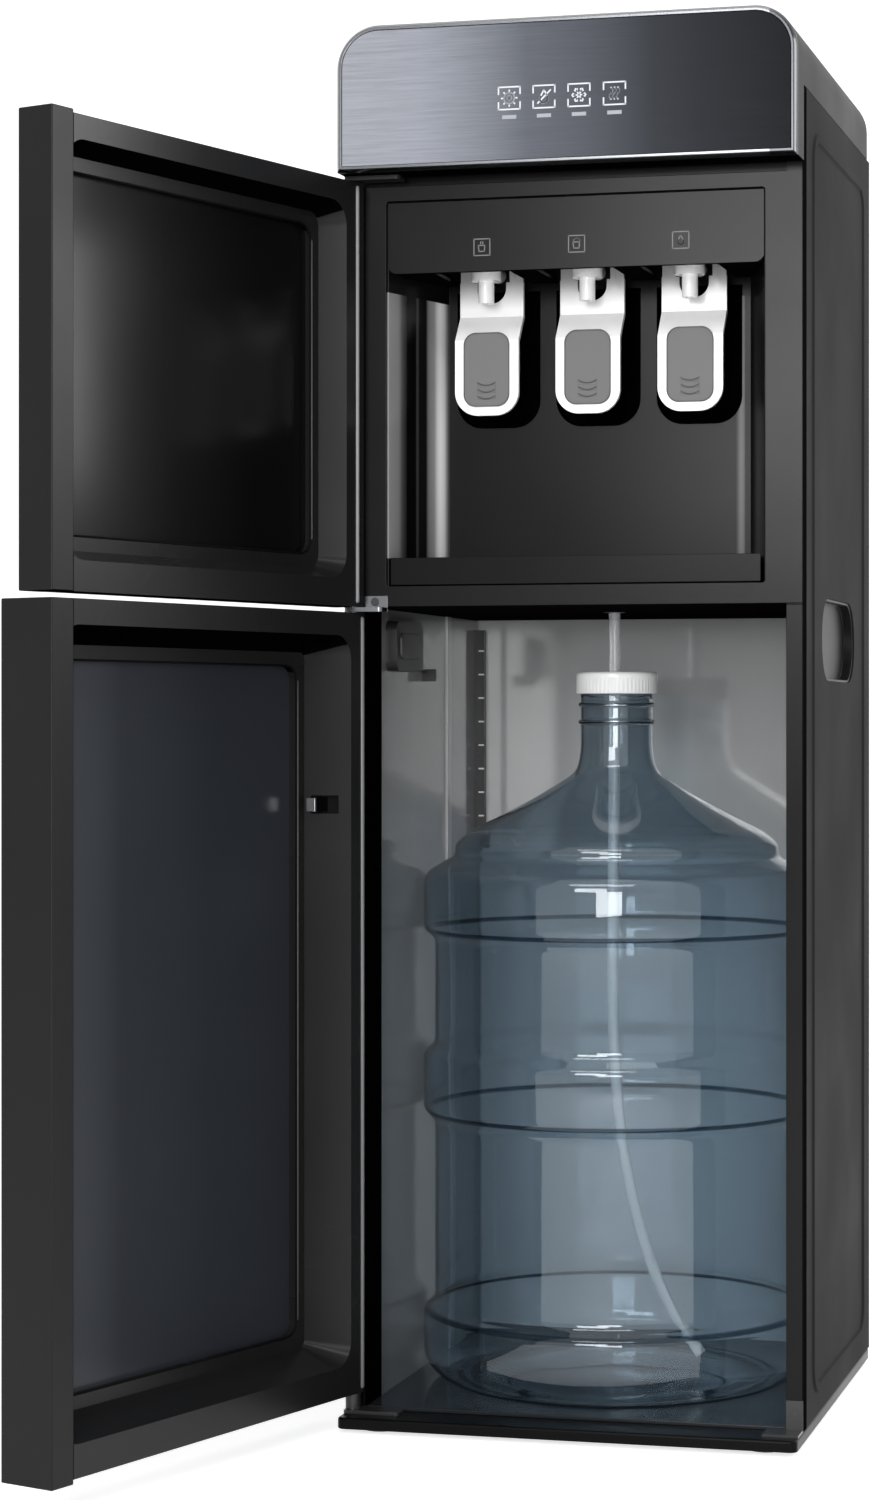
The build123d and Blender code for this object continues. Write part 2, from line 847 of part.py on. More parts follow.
with BuildPart() as hose_gland:
    rod(tube_x, tube_y, frame_low, ceiling_top, gland_hole - 0.1)
    rod(tube_x, tube_y, ceiling_top, ceiling_top + 3.0, gland_hole + 4.0)
    rod(tube_x, tube_y, ceiling_top + 3.0, gland_top, tube_radius + 2.0)
    rod(tube_x, tube_y, frame_low, gland_top, tube_radius - 1.0, mode=Mode.SUBTRACT)
save(hose_gland.part, "hose_gland")

# ---------------------------------------------------------------- hinges, pins and the corner bracket
pin_x = -half + hinge_inset
pin_y = front - door_gap - hinge_inset
mid_plate_low = frame_low - 3.7
screw_radius = 2.0
plate_thickness = 1.6
mid_screw_x = pin_x + 13.3
mid_screw_z = frame_low + 3.2
corner_screw_x = half - 6.0
corner_screw_z = base_top + 12.0

with BuildPart() as top_hinge:
    with BuildSketch(flat(head_low - hinge_plate)):
        rounded_span(pin_x - 4.6, pin_x + 34.0, front - 14.0, front - 0.5, 3.0)
    extrude(amount=hinge_plate)
    rod(pin_x, pin_y, upper_door_high - pin_reach, head_low - hinge_plate, pin_radius)
save(top_hinge.part, "top_hinge")

with BuildPart() as mid_hinge:
    with BuildSketch(flat(mid_plate_low)):
        rounded_span(pin_x - 4.6, pin_x + 22.0, front - 14.0, front, 3.0)
    extrude(amount=hinge_plate)
    block(pin_x + 4.6, pin_x + 22.0, front - plate_thickness, front, mid_plate_low, frame_low + 7.0)
    rod(pin_x, pin_y, lower_door_high - pin_reach, upper_door_low + pin_reach, pin_radius)
    rod_y(mid_screw_x, mid_screw_z, front - plate_thickness, front, screw_radius + 0.2, mode=Mode.SUBTRACT)
save(mid_hinge.part, "mid_hinge")

bracket_x0 = half - 24.0
# thinner than the floor sheet beside it, so that the bottle slides out above it
corner_plate = floor_thickness - 0.2

# the hinge bracket on the left and the plain corner bracket on the right are a pair
with BuildPart() as bottom_brackets:
    with BuildSketch(flat(base_top)):
        rounded_span(pin_x - 4.6, pin_x + 34.0, front - 16.0, front - 0.3, 3.0)
    extrude(amount=corner_plate)
    rod(pin_x, pin_y, base_top + corner_plate, high(lower_door_bottom) - 0.3, pin_radius + 2.0)
    rod(pin_x, pin_y, base_top + corner_plate, high(lower_door_bottom) + pin_reach, pin_radius)
    with BuildSketch(facing_front(front)):
        span(bracket_x0 + 12.5, half - 0.5, base_top, base_top + 20.0)
        with Locations((corner_screw_x, corner_screw_z)):
            Circle(screw_radius + 0.2, mode=Mode.SUBTRACT)
    extrude(amount=plate_thickness)
    block(bracket_x0, half - 0.5, front - 20.0, front, base_top, base_top + plate_thickness)
save(bottom_brackets.part, "bottom_brackets")

# ---------------------------------------------------------------- doors, built closed and then swung open
hinge_line = Axis((pin_x, pin_y, 0), (0, 0, 1))


def swing(part):
    return part.rotate(hinge_line, -door_open_angle)


def door(name, low, tall, thickness, rims, recess_depth, edge_low, edge_high, catch=None):
    """Frame with a drafted recess and a window, the glass over its outside, and the edge strip."""
    face = front - door_gap
    outside = face - thickness
    split = half - edge_width
    hinge_rim, low_rim, top_rim = rims
    x0, x1 = -half + hinge_rim, split
    z0, z1 = low + low_rim, tall - top_rim
    draw_in = recess_depth * math.tan(math.radians(recess_draft))
    ledge = 9.0
    with BuildPart() as frame:
        block(-half, split, outside + door_glass, face, low, tall)
        with BuildSketch(facing_front(face)):
            rounded_span(x0, x1 + draw_in, z0, z1, 16.0)
        extrude(amount=recess_depth, taper=recess_draft, mode=Mode.SUBTRACT)
        block(split, half + 20.0, outside - 5.0, face + 5.0, low, tall, mode=Mode.SUBTRACT)
        with BuildSketch(facing_front(face)):
            rounded_span(
                x0 + draw_in + ledge,
                x1 - 3.0,
                z0 + draw_in + ledge,
                z1 - draw_in - ledge,
                10.0,
            )
        extrude(amount=thickness, mode=Mode.SUBTRACT)
        rod(pin_x, pin_y, low - 1.0, low + pin_reach + 0.5, pin_radius + running_fit, mode=Mode.SUBTRACT)
        rod(pin_x, pin_y, tall - pin_reach - 0.5, tall + 1.0, pin_radius + running_fit, mode=Mode.SUBTRACT)
        if catch:
            block(
                x0 - 4.0,
                x0 + draw_in + 2.0,
                face - recess_depth + 4.0,
                face - 8.0,
                catch - 6.0,
                catch + 6.0,
                mode=Mode.SUBTRACT,
            )
    save(swing(frame.part), name + "_frame")
    with BuildPart() as glass:
        with BuildSketch(facing_front(outside + door_glass)):
            span(-half, split, low, tall)
        extrude(amount=door_glass)
        chamfer(glass.faces().sort_by(Axis.Y)[0].edges(), 0.8)
    save(swing(glass.part), name + "_glass")
    with BuildPart() as edge:
        with BuildSketch(flat(edge_low)):
            span(split, half, outside, face)
        extrude(amount=edge_high - edge_low)
    save(swing(edge.part), name + "_edge")
    if catch:
        with BuildPart() as tab:
            block(
                x0 - 4.0,
                x0 + draw_in + 6.0,
                face - recess_depth + 6.0,
                face - recess_depth + 8.0,
                catch - 4.5,
                catch + 4.5,
            )
            block(
                x0 + draw_in + 4.0,
                x0 + draw_in + 6.0,
                face - recess_depth + 6.0,
                face - recess_depth + 13.0,
                catch - 4.5,
                catch + 4.5,
            )
        save(swing(tab.part), "door_catch")


door(
    "upper_door",
    upper_door_low,
    upper_door_high,
    upper_door_thickness,
    (19.0, 18.3, 14.5),
    18.0,
    upper_door_low,
    upper_door_high + edge_overrun,
)
door(
    "lower_door",
    high(lower_door_bottom),
    lower_door_high,
    lower_door_thickness,
    (14.0, 20.0, 15.3),
    30.0,
    high(lower_door_bottom) - edge_overrun - 0.7,
    lower_door_high,
    catch=high(catch_height),
)

# ---------------------------------------------------------------- bottle, cap and suction tube
bottle_y = front + bottle_axis_depth
rim = bottle_ring_radius
body = bottle_body_radius
cap_high = frame_low - cap_drop
share = cap_high / 500.0  # the bottle's levels keep their share of its height
cap_low = cap_high - cap_height
neck_end = cap_low + 10.0
push_up = 9.0


def bottle_outline(inset):
    """Half section of the bottle from its foot to its mouth, drawn in by an inset."""
    z = floor_top
    r = rim - inset
    b = body - inset
    n = neck_radius - inset
    foot = z + inset
    return [
        (0, foot + push_up),
        (0.43 * rim, foot + push_up - 3.0),
        (0.63 * rim, foot),
        (r - 14.0, foot),
        (r, foot + 14.0),
        (r, share * 87.0),
        (b, share * 95.0),
        (b, share * 183.0),
        (r, share * 191.0),
        (r, share * 237.0),
        (b, share * 245.0),
        (b, share * 307.0),
        (r, share * 315.0),
        (r, share * 361.0),
        (0.836 * rim - inset, share * 377.0 - inset / 2),
        (0.776 * rim - inset, share * 389.0 - inset),
        (0.448 * rim - inset, share * 411.0 - inset),
        (n + 3.0, share * 431.0),
        (n, share * 443.0),
    ]


with BuildPart() as water_bottle:
    with BuildSketch(Plane.XZ):
        with BuildLine():
            outer = bottle_outline(0)
            inner = bottle_outline(bottle_wall)
            Polyline(
                *outer,
                (neck_radius, neck_end),
                (neck_radius - bottle_wall, neck_end),
                *reversed(inner),
                close=True,
            )
        make_face()
        for bead in (cap_low - 20.0, cap_low - 8.0):
            span(neck_radius - 0.5, neck_radius + 1.6, bead - 1.2, bead + 1.2)
    revolve(axis=Axis.Z)
save(Pos(bottle_x, bottle_y, 0) * water_bottle.part, "water_bottle")


with BuildPart() as bottle_cap:
    rod(bottle_x, bottle_y, cap_low, cap_high, cap_radius)
    rod(bottle_x, bottle_y, cap_low, neck_end, neck_radius + 0.02, mode=Mode.SUBTRACT)
    rod(tube_x, bottle_y, cap_low, cap_high, tube_radius + running_fit, mode=Mode.SUBTRACT)
    fillet(bottle_cap.faces().sort_by(Axis.Z)[-1].outer_wire().edges(), 2.0)
save(bottle_cap.part, "bottle_cap")

tube_route = [
    (tube_x, bottle_y, frame_low - seat_gap),
    (tube_x, bottle_y, share * 440.0),
    (tube_x - 1.6, bottle_y + 1.0, share * 335.0),
    (tube_x - 1.2, bottle_y + 0.5, share * 240.0),
    (2.0, bottle_y - 1.0, share * 165.0),
    (17.0, bottle_y - 1.0, share * 104.0),
    (34.0, bottle_y, share * 61.0),
    (57.0, bottle_y + 0.5, share * 29.5),
]


def bend_radii(points):
    """The largest arc at each corner: 0.45 of the shorter run over the tangent of half the turn."""
    radii = []
    for before, corner, after in zip(points, points[1:], points[2:]):
        run_in = Vector(*corner) - Vector(*before)
        run_out = Vector(*after) - Vector(*corner)
        turn = math.radians(run_in.get_angle(run_out))
        radii.append(0.45 * min(run_in.length, run_out.length) / math.tan(turn / 2))
    return radii


def tube_along(points, radius, radii):
    """A round tube swept along straight runs joined by tangent arcs."""
    with BuildPart() as tube:
        with BuildLine() as path:
            FilletPolyline(*points, radius=radii)
        start = Vector(*points[0])
        with BuildSketch(Plane(origin=start, z_dir=Vector(*points[1]) - start)):
            Circle(radius)
        sweep(path=path.wires()[0])
    return tube.part, path.wires()[0].length


suction_bends = bend_radii(tube_route)
suction_tube, suction_length = tube_along(tube_route, tube_radius, suction_bends)
print("suction tube", round(suction_length), "mm, bends", [round(r) for r in suction_bends])
print("its volume over section times length", suction_tube.volume / (math.pi * tube_radius**2 * suction_length))
save(suction_tube, "suction_tube")

# ---------------------------------------------------------------- hot tank
hot_x = -78.0
tank_y = inlet_end + 64.0
leg_height = 10.0
hot_low = ceiling_top + leg_height
hot_high = hot_low + hot_tank_height
port_radius = 5.0
port_bore = 3.5
port_reach = 8.0
tank_wall = 2.0
tank_rounding = 10.0
hot_port_y = inlet_end + 40.0

with BuildPart() as hot_hollow:
    rod(hot_x, tank_y, hot_low + tank_wall, hot_high - tank_wall, hot_tank_radius - tank_wall)
    fillet(hot_hollow.edges().filter_by(GeomType.CIRCLE), tank_rounding - tank_wall)

with BuildPart() as hot_tank:
    rod(hot_x, tank_y, hot_low, hot_high, hot_tank_radius)
    fillet(hot_tank.edges().filter_by(GeomType.CIRCLE), tank_rounding)
    with BuildSketch(flat(ceiling_top)):
        with Locations((hot_x, tank_y)):
            with PolarLocations(hot_tank_radius - 16.0, 3, start_angle=30):
                Circle(5.0)
    extrude(amount=leg_height + 2.0)
    for band in (0.35, 0.62):
        rod(
            hot_x,
            tank_y,
            hot_low + band * hot_tank_height,
            hot_low + band * hot_tank_height + 14.0,
            hot_tank_radius + 1.5,
        )
    rod(tap_places["hot"], hot_port_y, hot_high - 4.0, hot_high + port_reach, port_radius)
    rod_y(drain_x, drain_z, tank_y + 10.0, tank_y + hot_tank_radius + 4.0, port_radius)
    add(hot_hollow.part, mode=Mode.SUBTRACT)
    rod(tap_places["hot"], hot_port_y, hot_high - 5.0, hot_high + port_reach, port_bore, mode=Mode.SUBTRACT)
save(hot_tank.part, "hot_tank")

# ---------------------------------------------------------------- cold tank, foam, module, sink and fan
fan_y = back - fan_clearance - fan_depth
sink_y = fan_y - sink_depth
foam_y1 = sink_y - module_thickness
foam_y0 = pocket_back + bay_wall + insulation_gap
cold_y = (foam_y0 + foam_y1) / 2
cold_tank_radius = cold_tank_share * min(insulation_size, foam_y1 - foam_y0)
foam_x0 = fan_x - insulation_size / 2
foam_x1 = fan_x + insulation_size / 2
foam_wall = (foam_y1 - foam_y0) / 2 - cold_tank_radius
cold_low = ceiling_top + foam_wall
cold_high = ceiling_top + insulation_height - foam_wall
foam_top = ceiling_top + insulation_height
cold_port_x = tap_places["cold"]
cold_port_y = inlet_end + 47.0

with BuildPart() as cold_tank:
    rod(fan_x, cold_y, cold_low, cold_high, cold_tank_radius)
    rod(cold_port_x, cold_port_y, cold_high - 1.0, foam_top + port_reach, port_radius)
    block(
        fan_x - module_size / 2,
        fan_x + module_size / 2,
        cold_y + cold_tank_radius - 8.0,
        foam_y1,
        fan_z - module_size / 2,
        fan_z + module_size / 2,
    )
    rod(
        fan_x,
        cold_y,
        cold_low + tank_wall,
        cold_high - tank_wall,
        cold_tank_radius - tank_wall,
        mode=Mode.SUBTRACT,
    )
    rod(cold_port_x, cold_port_y, cold_high - 3.0, foam_top + port_reach, port_bore, mode=Mode.SUBTRACT)
save(cold_tank.part, "cold_tank")

with BuildPart() as cold_insulation:
    with BuildSketch(flat(ceiling_top)):
        rounded_span(foam_x0, foam_x1, foam_y0, foam_y1, 6.0)
    extrude(amount=insulation_height)
    rod(fan_x, cold_y, cold_low, cold_high, cold_tank_radius, mode=Mode.SUBTRACT)
    rod(cold_port_x, cold_port_y, cold_high - 1.0, foam_top, port_radius, mode=Mode.SUBTRACT)
    block(
        fan_x - module_size / 2,
        fan_x + module_size / 2,
        cold_y,
        foam_y1,
        fan_z - module_size / 2,
        fan_z + module_size / 2,
        mode=Mode.SUBTRACT,
    )
save(cold_insulation.part, "cold_insulation")

with BuildPart() as peltier_module:
    with BuildSketch(facing_front(foam_y1)):
        with Locations((fan_x, fan_z)):
            Rectangle(module_size, module_size)
    extrude(amount=-module_thickness)
save(peltier_module.part, "peltier_module")

sink_base = 6.0
fin_pitch = sink_size / fin_count
fin_thickness = 1.6

with BuildPart() as heat_sink:
    with BuildSketch(facing_front(sink_y)):
        with Locations((fan_x, fan_z)):
            Rectangle(sink_size, sink_size)
    extrude(amount=-sink_base)
    with BuildSketch(facing_front(sink_y + sink_base)):
        with Locations((fan_x, fan_z)):
            with GridLocations(fin_pitch, 0, fin_count, 1):
                Rectangle(fin_thickness, sink_size)
    extrude(amount=-(sink_depth - sink_base))
save(heat_sink.part, "heat_sink")

fan_wall = 3.0
hub_radius = 0.185 * fan_size
blade_count = 7
blade_gap = 2.0
fan_pin_radius = 2.0
fan_pin_length = 9.0

with BuildPart() as fan_frame:
    with BuildSketch(facing_front(fan_y)):
        with Locations((fan_x, fan_z)):
            RectangleRounded(fan_size, fan_size, 5.0)
            Circle(fan_size / 2 - fan_wall, mode=Mode.SUBTRACT)
            with GridLocations(fan_size - 10, fan_size - 10, 2, 2):
                Circle(2.2, mode=Mode.SUBTRACT)
    extrude(amount=-fan_depth)
    with BuildSketch(facing_front(fan_y + fan_depth - 2.5)):
        with Locations((fan_x, fan_z)):
            Circle(hub_radius)
            Rectangle(fan_size - 2, 3.0)
            Rectangle(3.0, fan_size - 2)
    extrude(amount=-2.5)
    rod_y(fan_x, fan_z, fan_y + fan_depth - 2.5 - fan_pin_length, fan_y + fan_depth - 2.5, fan_pin_radius)
save(fan_frame.part, "fan_frame")

rotor_start = fan_y + 2.0
rotor_end = fan_y + fan_depth - 3.0
blade_reach = fan_size / 2 - fan_wall - blade_gap

with BuildPart() as fan_rotor:
    rod_y(fan_x, fan_z, rotor_start, rotor_end, hub_radius)
    with BuildSketch(facing_front(rotor_start + 1.0)):
        with Locations((fan_x, fan_z)):
            with PolarLocations(0, blade_count):
                with Locations(((hub_radius + blade_reach) / 2 - 1.0, 0)):
                    Rectangle(blade_reach - hub_radius + 2.0, 8.0, rotation=12.0)
    extrude(amount=-(rotor_end - rotor_start - 2.0), taper=4)
    rod_y(
        fan_x,
        fan_z,
        fan_y + fan_depth - 3.0 - fan_pin_length,
        rotor_end,
        fan_pin_radius + running_fit,
        mode=Mode.SUBTRACT,
    )
save(fan_rotor.part, "fan_rotor")

# ---------------------------------------------------------------- pump and hoses
pump_z = ceiling_top + pump_radius + 6.0  # its feet hold the collar clear of the deck
pump_y0 = rear_wall - 36.0 - pump_length
pump_y1 = pump_y0 + pump_length
pump_port = 6.0

with BuildPart() as pump:
    rod_y(tube_x, pump_z, pump_y0, pump_y1, pump_radius)
    rod_y(tube_x, pump_z, pump_y0 - 3.0, pump_y0 + 18.0, pump_radius + 2.0)
    rod_y(tube_x, pump_z, pump_y0 - 3.0 - pump_port, pump_y0 - 3.0, hose_radius)
    rod(tube_x, pump_y0 + 8.0, pump_z, pump_z + pump_radius + 2.0 + pump_port, hose_radius)
    for y in (pump_y0 + 10.0, pump_y1 - 12.0):
        block(tube_x - 14.0, tube_x + 14.0, y, y + 5.0, ceiling_top, pump_z)
        block(tube_x - 21.0, tube_x + 21.0, y - 3.0, y + 8.0, ceiling_top, ceiling_top + 2.0)
save(pump.part, "pump")

feed_y = pump_y0 + 8.0
hose_bend = 14.0

with BuildPart() as inner_hoses:
    add(
        tube_along(
            [
                (tube_x, tube_y, gland_top),
                (tube_x, tube_y, pump_z),
                (tube_x, pump_y0 - 3.0 - pump_port, pump_z),
            ],
            hose_radius,
            [8.0],
        )[0]
    )
    add(
        tube_along(
            [
                (0.0, inlet_end, inlet_z),
                (0.0, feed_y - 40.0, inlet_z),
                (tube_x, feed_y, inlet_z - 6.0),
                (tube_x, feed_y, pump_z + pump_radius + 2.0 + pump_port),
            ],
            hose_radius,
            [hose_bend, hose_bend],
        )[0]
    )
    add(
        tube_along(
            [
                (tap_places["hot"], inlet_end, inlet_z),
                (tap_places["hot"], hot_port_y, inlet_z),
                (tap_places["hot"], hot_port_y, hot_high + port_reach),
            ],
            hose_radius,
            [hose_bend],
        )[0]
    )
    add(
        tube_along(
            [
                (cold_port_x, inlet_end, inlet_z),
                (cold_port_x, cold_port_y, inlet_z),
                (cold_port_x, cold_port_y, foam_top + port_reach),
            ],
            hose_radius,
            [hose_bend],
        )[0]
    )
    rod_y(drain_x, drain_z, tank_y + hot_tank_radius + 4.0, back - sheet - 4.0, hose_radius)
save(inner_hoses.part, "inner_hoses")

with BuildPart() as drain_cap:
    rod_y(drain_x, drain_z, back - sheet - 4.0, back + 2.0, drain_radius)
    rod_y(drain_x, drain_z, back, back + 11.0, drain_radius + 4.0)
    with BuildSketch(facing_front(back + 2.0)):
        with Locations((drain_x, drain_z)):
            with PolarLocations(drain_radius + 4.0, 12):
                Circle(1.2)
    extrude(amount=-9.0, mode=Mode.SUBTRACT)
save(drain_cap.part, "drain_cap")

# ---------------------------------------------------------------- boards, switches and inlet
board = 1.6
board_x = -half + sheet + 8.0
board_y = back - 109.0
board_z = top - 147.0

with BuildPart() as circuit_boards:
    with BuildSketch(facing_right(board_x)):
        with Locations((board_y, board_z)):
            Rectangle(110.0, 84.0)
    extrude(amount=board)
    with BuildSketch(facing_right(board_x)):
        with Locations((board_y, board_z)):
            with GridLocations(98.0, 72.0, 2, 2):
                Circle(3.0)
    extrude(amount=-8.0)
    block(board_x + board, board_x + 22.0, board_y - 40.0, board_y - 8.0, board_z - 30.0, board_z + 4.0)
    block(board_x + board, board_x + 17.0, board_y + 4.0, board_y + 24.0, board_z - 26.0, board_z - 8.0)
    block(board_x + board, board_x + 13.0, board_y - 30.0, board_y + 30.0, board_z + 18.0, board_z + 26.0)
    panel_back_face = head_front + 0.6 + panel_thickness
    block(-65.0, 65.0, panel_back_face + 4.0, panel_back_face + 4.0 + board, top - 65.0, top - 37.0)
    for x in (-59.0, 59.0):
        rod_y(x, top - 51.0, panel_back_face, panel_back_face + 4.0, 2.5)
save(circuit_boards.part, "circuit_boards")

rocker_width = 13.0
rocker_height = 19.0
rocker_pivot = back + 1.0
rocker_pin = 1.2
rocker_tilt = 8.0

with BuildPart() as rear_switch_panel:
    with BuildSketch(facing_front(back + 2.0)):
        with Locations((switch_x, switch_z)):
            RectangleRounded(switch_frame_width, switch_frame_height, 3.0)
    extrude(amount=2.0)
    block(
        switch_x - switch_frame_width / 2 + 5.0,
        switch_x + switch_frame_width / 2 - 5.0,
        back - 16.0,
        back + 0.5,
        switch_z - switch_frame_height / 2 + 5.0,
        switch_z + switch_frame_height / 2 - 5.0,
    )
    for side in (-1, 1):
        x = switch_x + side * switch_pitch / 2
        block(
            x - rocker_width / 2 - seat_gap,
            x + rocker_width / 2 + seat_gap,
            back - 10.0,
            back + 3.0,
            switch_z - rocker_height / 2 - seat_gap,
            switch_z + rocker_height / 2 + seat_gap,
            mode=Mode.SUBTRACT,
        )
        rod_x(
            rocker_pivot - 3.0,
            switch_z,
            x - rocker_width / 2 - 2.5,
            x + rocker_width / 2 + 2.5,
            rocker_pin + running_fit,
            mode=Mode.SUBTRACT,
        )
save(rear_switch_panel.part, "rear_switch_panel")


def rocker(x):
    """A rocker whose face is two shallow slopes, on pins at its middle, tilted to its off stop."""
    with BuildPart() as key:
        with BuildSketch(facing_right(x - rocker_width / 2)):
            with BuildLine():
                h = rocker_height / 2 - 1.6
                y = rocker_pivot - 3.0
                Polyline(
                    (y - 3.0, -h + 3.5),
                    (y + 4.6, -h),
                    (y + 3.0, 0),
                    (y + 4.6, h),
                    (y - 3.0, h - 3.5),
                    close=True,
                )
            make_face()
        extrude(amount=rocker_width)
    with BuildPart() as placed:
        add(Pos(0, 0, switch_z) * key.part)
        rod_x(
            rocker_pivot - 3.0,
            switch_z,
            x - rocker_width / 2 - 2.0,
            x + rocker_width / 2 + 2.0,
            rocker_pin,
        )
    return placed.part.rotate(Axis((x, rocker_pivot - 3.0, switch_z), (1, 0, 0)), -rocker_tilt)


save(rocker(switch_x - switch_pitch / 2), "heat_switch")
save(rocker(switch_x + switch_pitch / 2), "cool_switch")

with BuildPart() as power_inlet:
    rod_y(gland_x, gland_z, back - sheet - 8.0, back, 8.8)
    rod_y(gland_x, gland_z, back - sheet - 3.0, back - sheet, 11.5)
    rod_y(gland_x, gland_z, back, back + 3.0, 12.0)
    rod_y(gland_x, gland_z, back - sheet - 9.0, back + 4.0, 3.6, mode=Mode.SUBTRACT)
save(power_inlet.part, "power_inlet")

# ---------------------------------------------------------------- screws
screw_head = 3.4
head_rise = 1.8
low_head = 2.8
low_head_rise = 0.5
rear_rows = (high(30.0), high(300.0), frame_low - 8.5, (frame_low + top) / 2 - 32.0, skirt_low - 20.0)

with BuildPart() as screws:
    with BuildSketch(facing_front(back + head_rise)):
        for z in rear_rows:
            with Locations((-half + 7.0, z), (half - 7.0, z)):
                Circle(screw_head)
    extrude(amount=head_rise)
    plate_face = front - plate_thickness
    rod_y(mid_screw_x, mid_screw_z, plate_face - low_head_rise, plate_face, low_head)
    rod_y(corner_screw_x, corner_screw_z, plate_face - low_head_rise, plate_face, low_head)
save(screws.part, "screws")
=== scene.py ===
import json
import math
import bmesh
import bpy
import numpy as np
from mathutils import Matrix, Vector

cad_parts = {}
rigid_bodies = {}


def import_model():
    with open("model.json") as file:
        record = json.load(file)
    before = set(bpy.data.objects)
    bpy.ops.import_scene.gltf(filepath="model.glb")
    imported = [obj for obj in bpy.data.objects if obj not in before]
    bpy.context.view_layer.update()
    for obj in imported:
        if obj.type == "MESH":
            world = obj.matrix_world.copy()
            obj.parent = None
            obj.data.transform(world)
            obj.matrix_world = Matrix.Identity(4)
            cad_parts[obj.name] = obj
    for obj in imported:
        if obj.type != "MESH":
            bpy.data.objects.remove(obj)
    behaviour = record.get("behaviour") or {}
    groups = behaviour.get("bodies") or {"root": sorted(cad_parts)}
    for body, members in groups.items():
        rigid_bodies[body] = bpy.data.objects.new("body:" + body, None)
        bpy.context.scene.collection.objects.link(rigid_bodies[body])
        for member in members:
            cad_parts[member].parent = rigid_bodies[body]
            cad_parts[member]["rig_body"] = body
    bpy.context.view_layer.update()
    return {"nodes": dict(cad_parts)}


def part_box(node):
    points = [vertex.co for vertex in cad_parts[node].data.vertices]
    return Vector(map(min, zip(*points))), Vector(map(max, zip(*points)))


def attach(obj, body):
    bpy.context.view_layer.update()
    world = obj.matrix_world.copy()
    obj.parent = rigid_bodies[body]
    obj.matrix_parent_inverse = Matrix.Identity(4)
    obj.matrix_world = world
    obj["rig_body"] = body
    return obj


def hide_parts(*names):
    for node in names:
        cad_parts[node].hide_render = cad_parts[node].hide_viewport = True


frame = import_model()
nodes = frame["nodes"]
scene = bpy.context.scene
print("frame loaded,", len(nodes), "nodes")


# A new principled material, its tree and its shader
def startFinish(name):
    made = bpy.data.materials.new(name)
    made.use_nodes = True
    return made, made.node_tree, made.node_tree.nodes["Principled BSDF"]


def node(tree, kind, **settings):
    made = tree.nodes.new(kind)
    for key, value in settings.items():
        if key in made.inputs:
            made.inputs[key].default_value = value
        else:
            setattr(made, key, value)
    return made


# Object coordinates, stretched by three factors
def objectPattern(tree, stretch):
    place = tree.nodes.new("ShaderNodeTexCoord")
    mapping = tree.nodes.new("ShaderNodeMapping")
    mapping.inputs["Scale"].default_value = stretch
    tree.links.new(place.outputs["Object"], mapping.inputs["Vector"])
    return mapping.outputs["Vector"]


# A noise value carried to a low and a high
def spread(tree, source, low, high, fromLow=0.3, fromHigh=0.7):
    ranged = tree.nodes.new("ShaderNodeMapRange")
    ranged.inputs["From Min"].default_value = fromLow
    ranged.inputs["From Max"].default_value = fromHigh
    ranged.inputs["To Min"].default_value = low
    ranged.inputs["To Max"].default_value = high
    tree.links.new(source, ranged.inputs["Value"])
    return ranged.outputs["Result"]


# A maths node on two values, each a socket or a number
def maths(tree, operation, first, second):
    made = node(tree, "ShaderNodeMath", operation=operation)
    for value, socket in zip((first, second), made.inputs):
        if isinstance(value, (int, float)):
            socket.default_value = value
        else:
            tree.links.new(value, socket)
    return made.outputs[0]


# One object coordinate
def placeAlong(tree, axis):
    place = tree.nodes.new("ShaderNodeTexCoord")
    parts = tree.nodes.new("ShaderNodeSeparateXYZ")
    tree.links.new(place.outputs["Object"], parts.inputs["Vector"])
    return parts.outputs[axis]


# Colours read off a factor: pairs of place and colour
def toneRamp(tree, factor, tones):
    ramp = tree.nodes.new("ShaderNodeValToRGB")
    while len(ramp.color_ramp.elements) < len(tones):
        ramp.color_ramp.elements.new(0.5)
    for element, (at, colour) in zip(ramp.color_ramp.elements, tones):
        element.position = at
        element.color = (*colour, 1)
    tree.links.new(factor, ramp.inputs["Fac"])
    return ramp.outputs["Color"]


# Plastic, paint or plain metal: a fine grain, uneven gloss and a faint cloud in its colour
def mouldedFinish(name, colour, roughness, specular=0.5, grain=1400, depth=0.00004, cloud=7, tone=0.14,
                  metal=0.0, stretch=(1, 1, 1)):
    made, tree, shader = startFinish(name)
    vector = objectPattern(tree, stretch)
    clouds = node(tree, "ShaderNodeTexNoise", Scale=cloud, Detail=3.0)
    grains = node(tree, "ShaderNodeTexNoise", Scale=grain, Detail=2.0)
    tree.links.new(vector, clouds.inputs["Vector"])
    tree.links.new(vector, grains.inputs["Vector"])
    darker = [c * (1 - tone) for c in colour]
    lighter = [c * (1 + tone) for c in colour]
    cloudTones = toneRamp(tree, clouds.outputs["Fac"], [(0, darker), (1, lighter)])
    cloudGloss = spread(tree, clouds.outputs["Fac"], roughness * 0.88, roughness * 1.14)
    tree.links.new(cloudTones, shader.inputs["Base Color"])
    tree.links.new(cloudGloss, shader.inputs["Roughness"])
    bump = node(tree, "ShaderNodeBump", Strength=0.6, Distance=depth)
    tree.links.new(grains.outputs["Fac"], bump.inputs["Height"])
    tree.links.new(bump.outputs["Normal"], shader.inputs["Normal"])
    shader.inputs["Metallic"].default_value = metal
    shader.inputs["Specular IOR Level"].default_value = specular
    return made


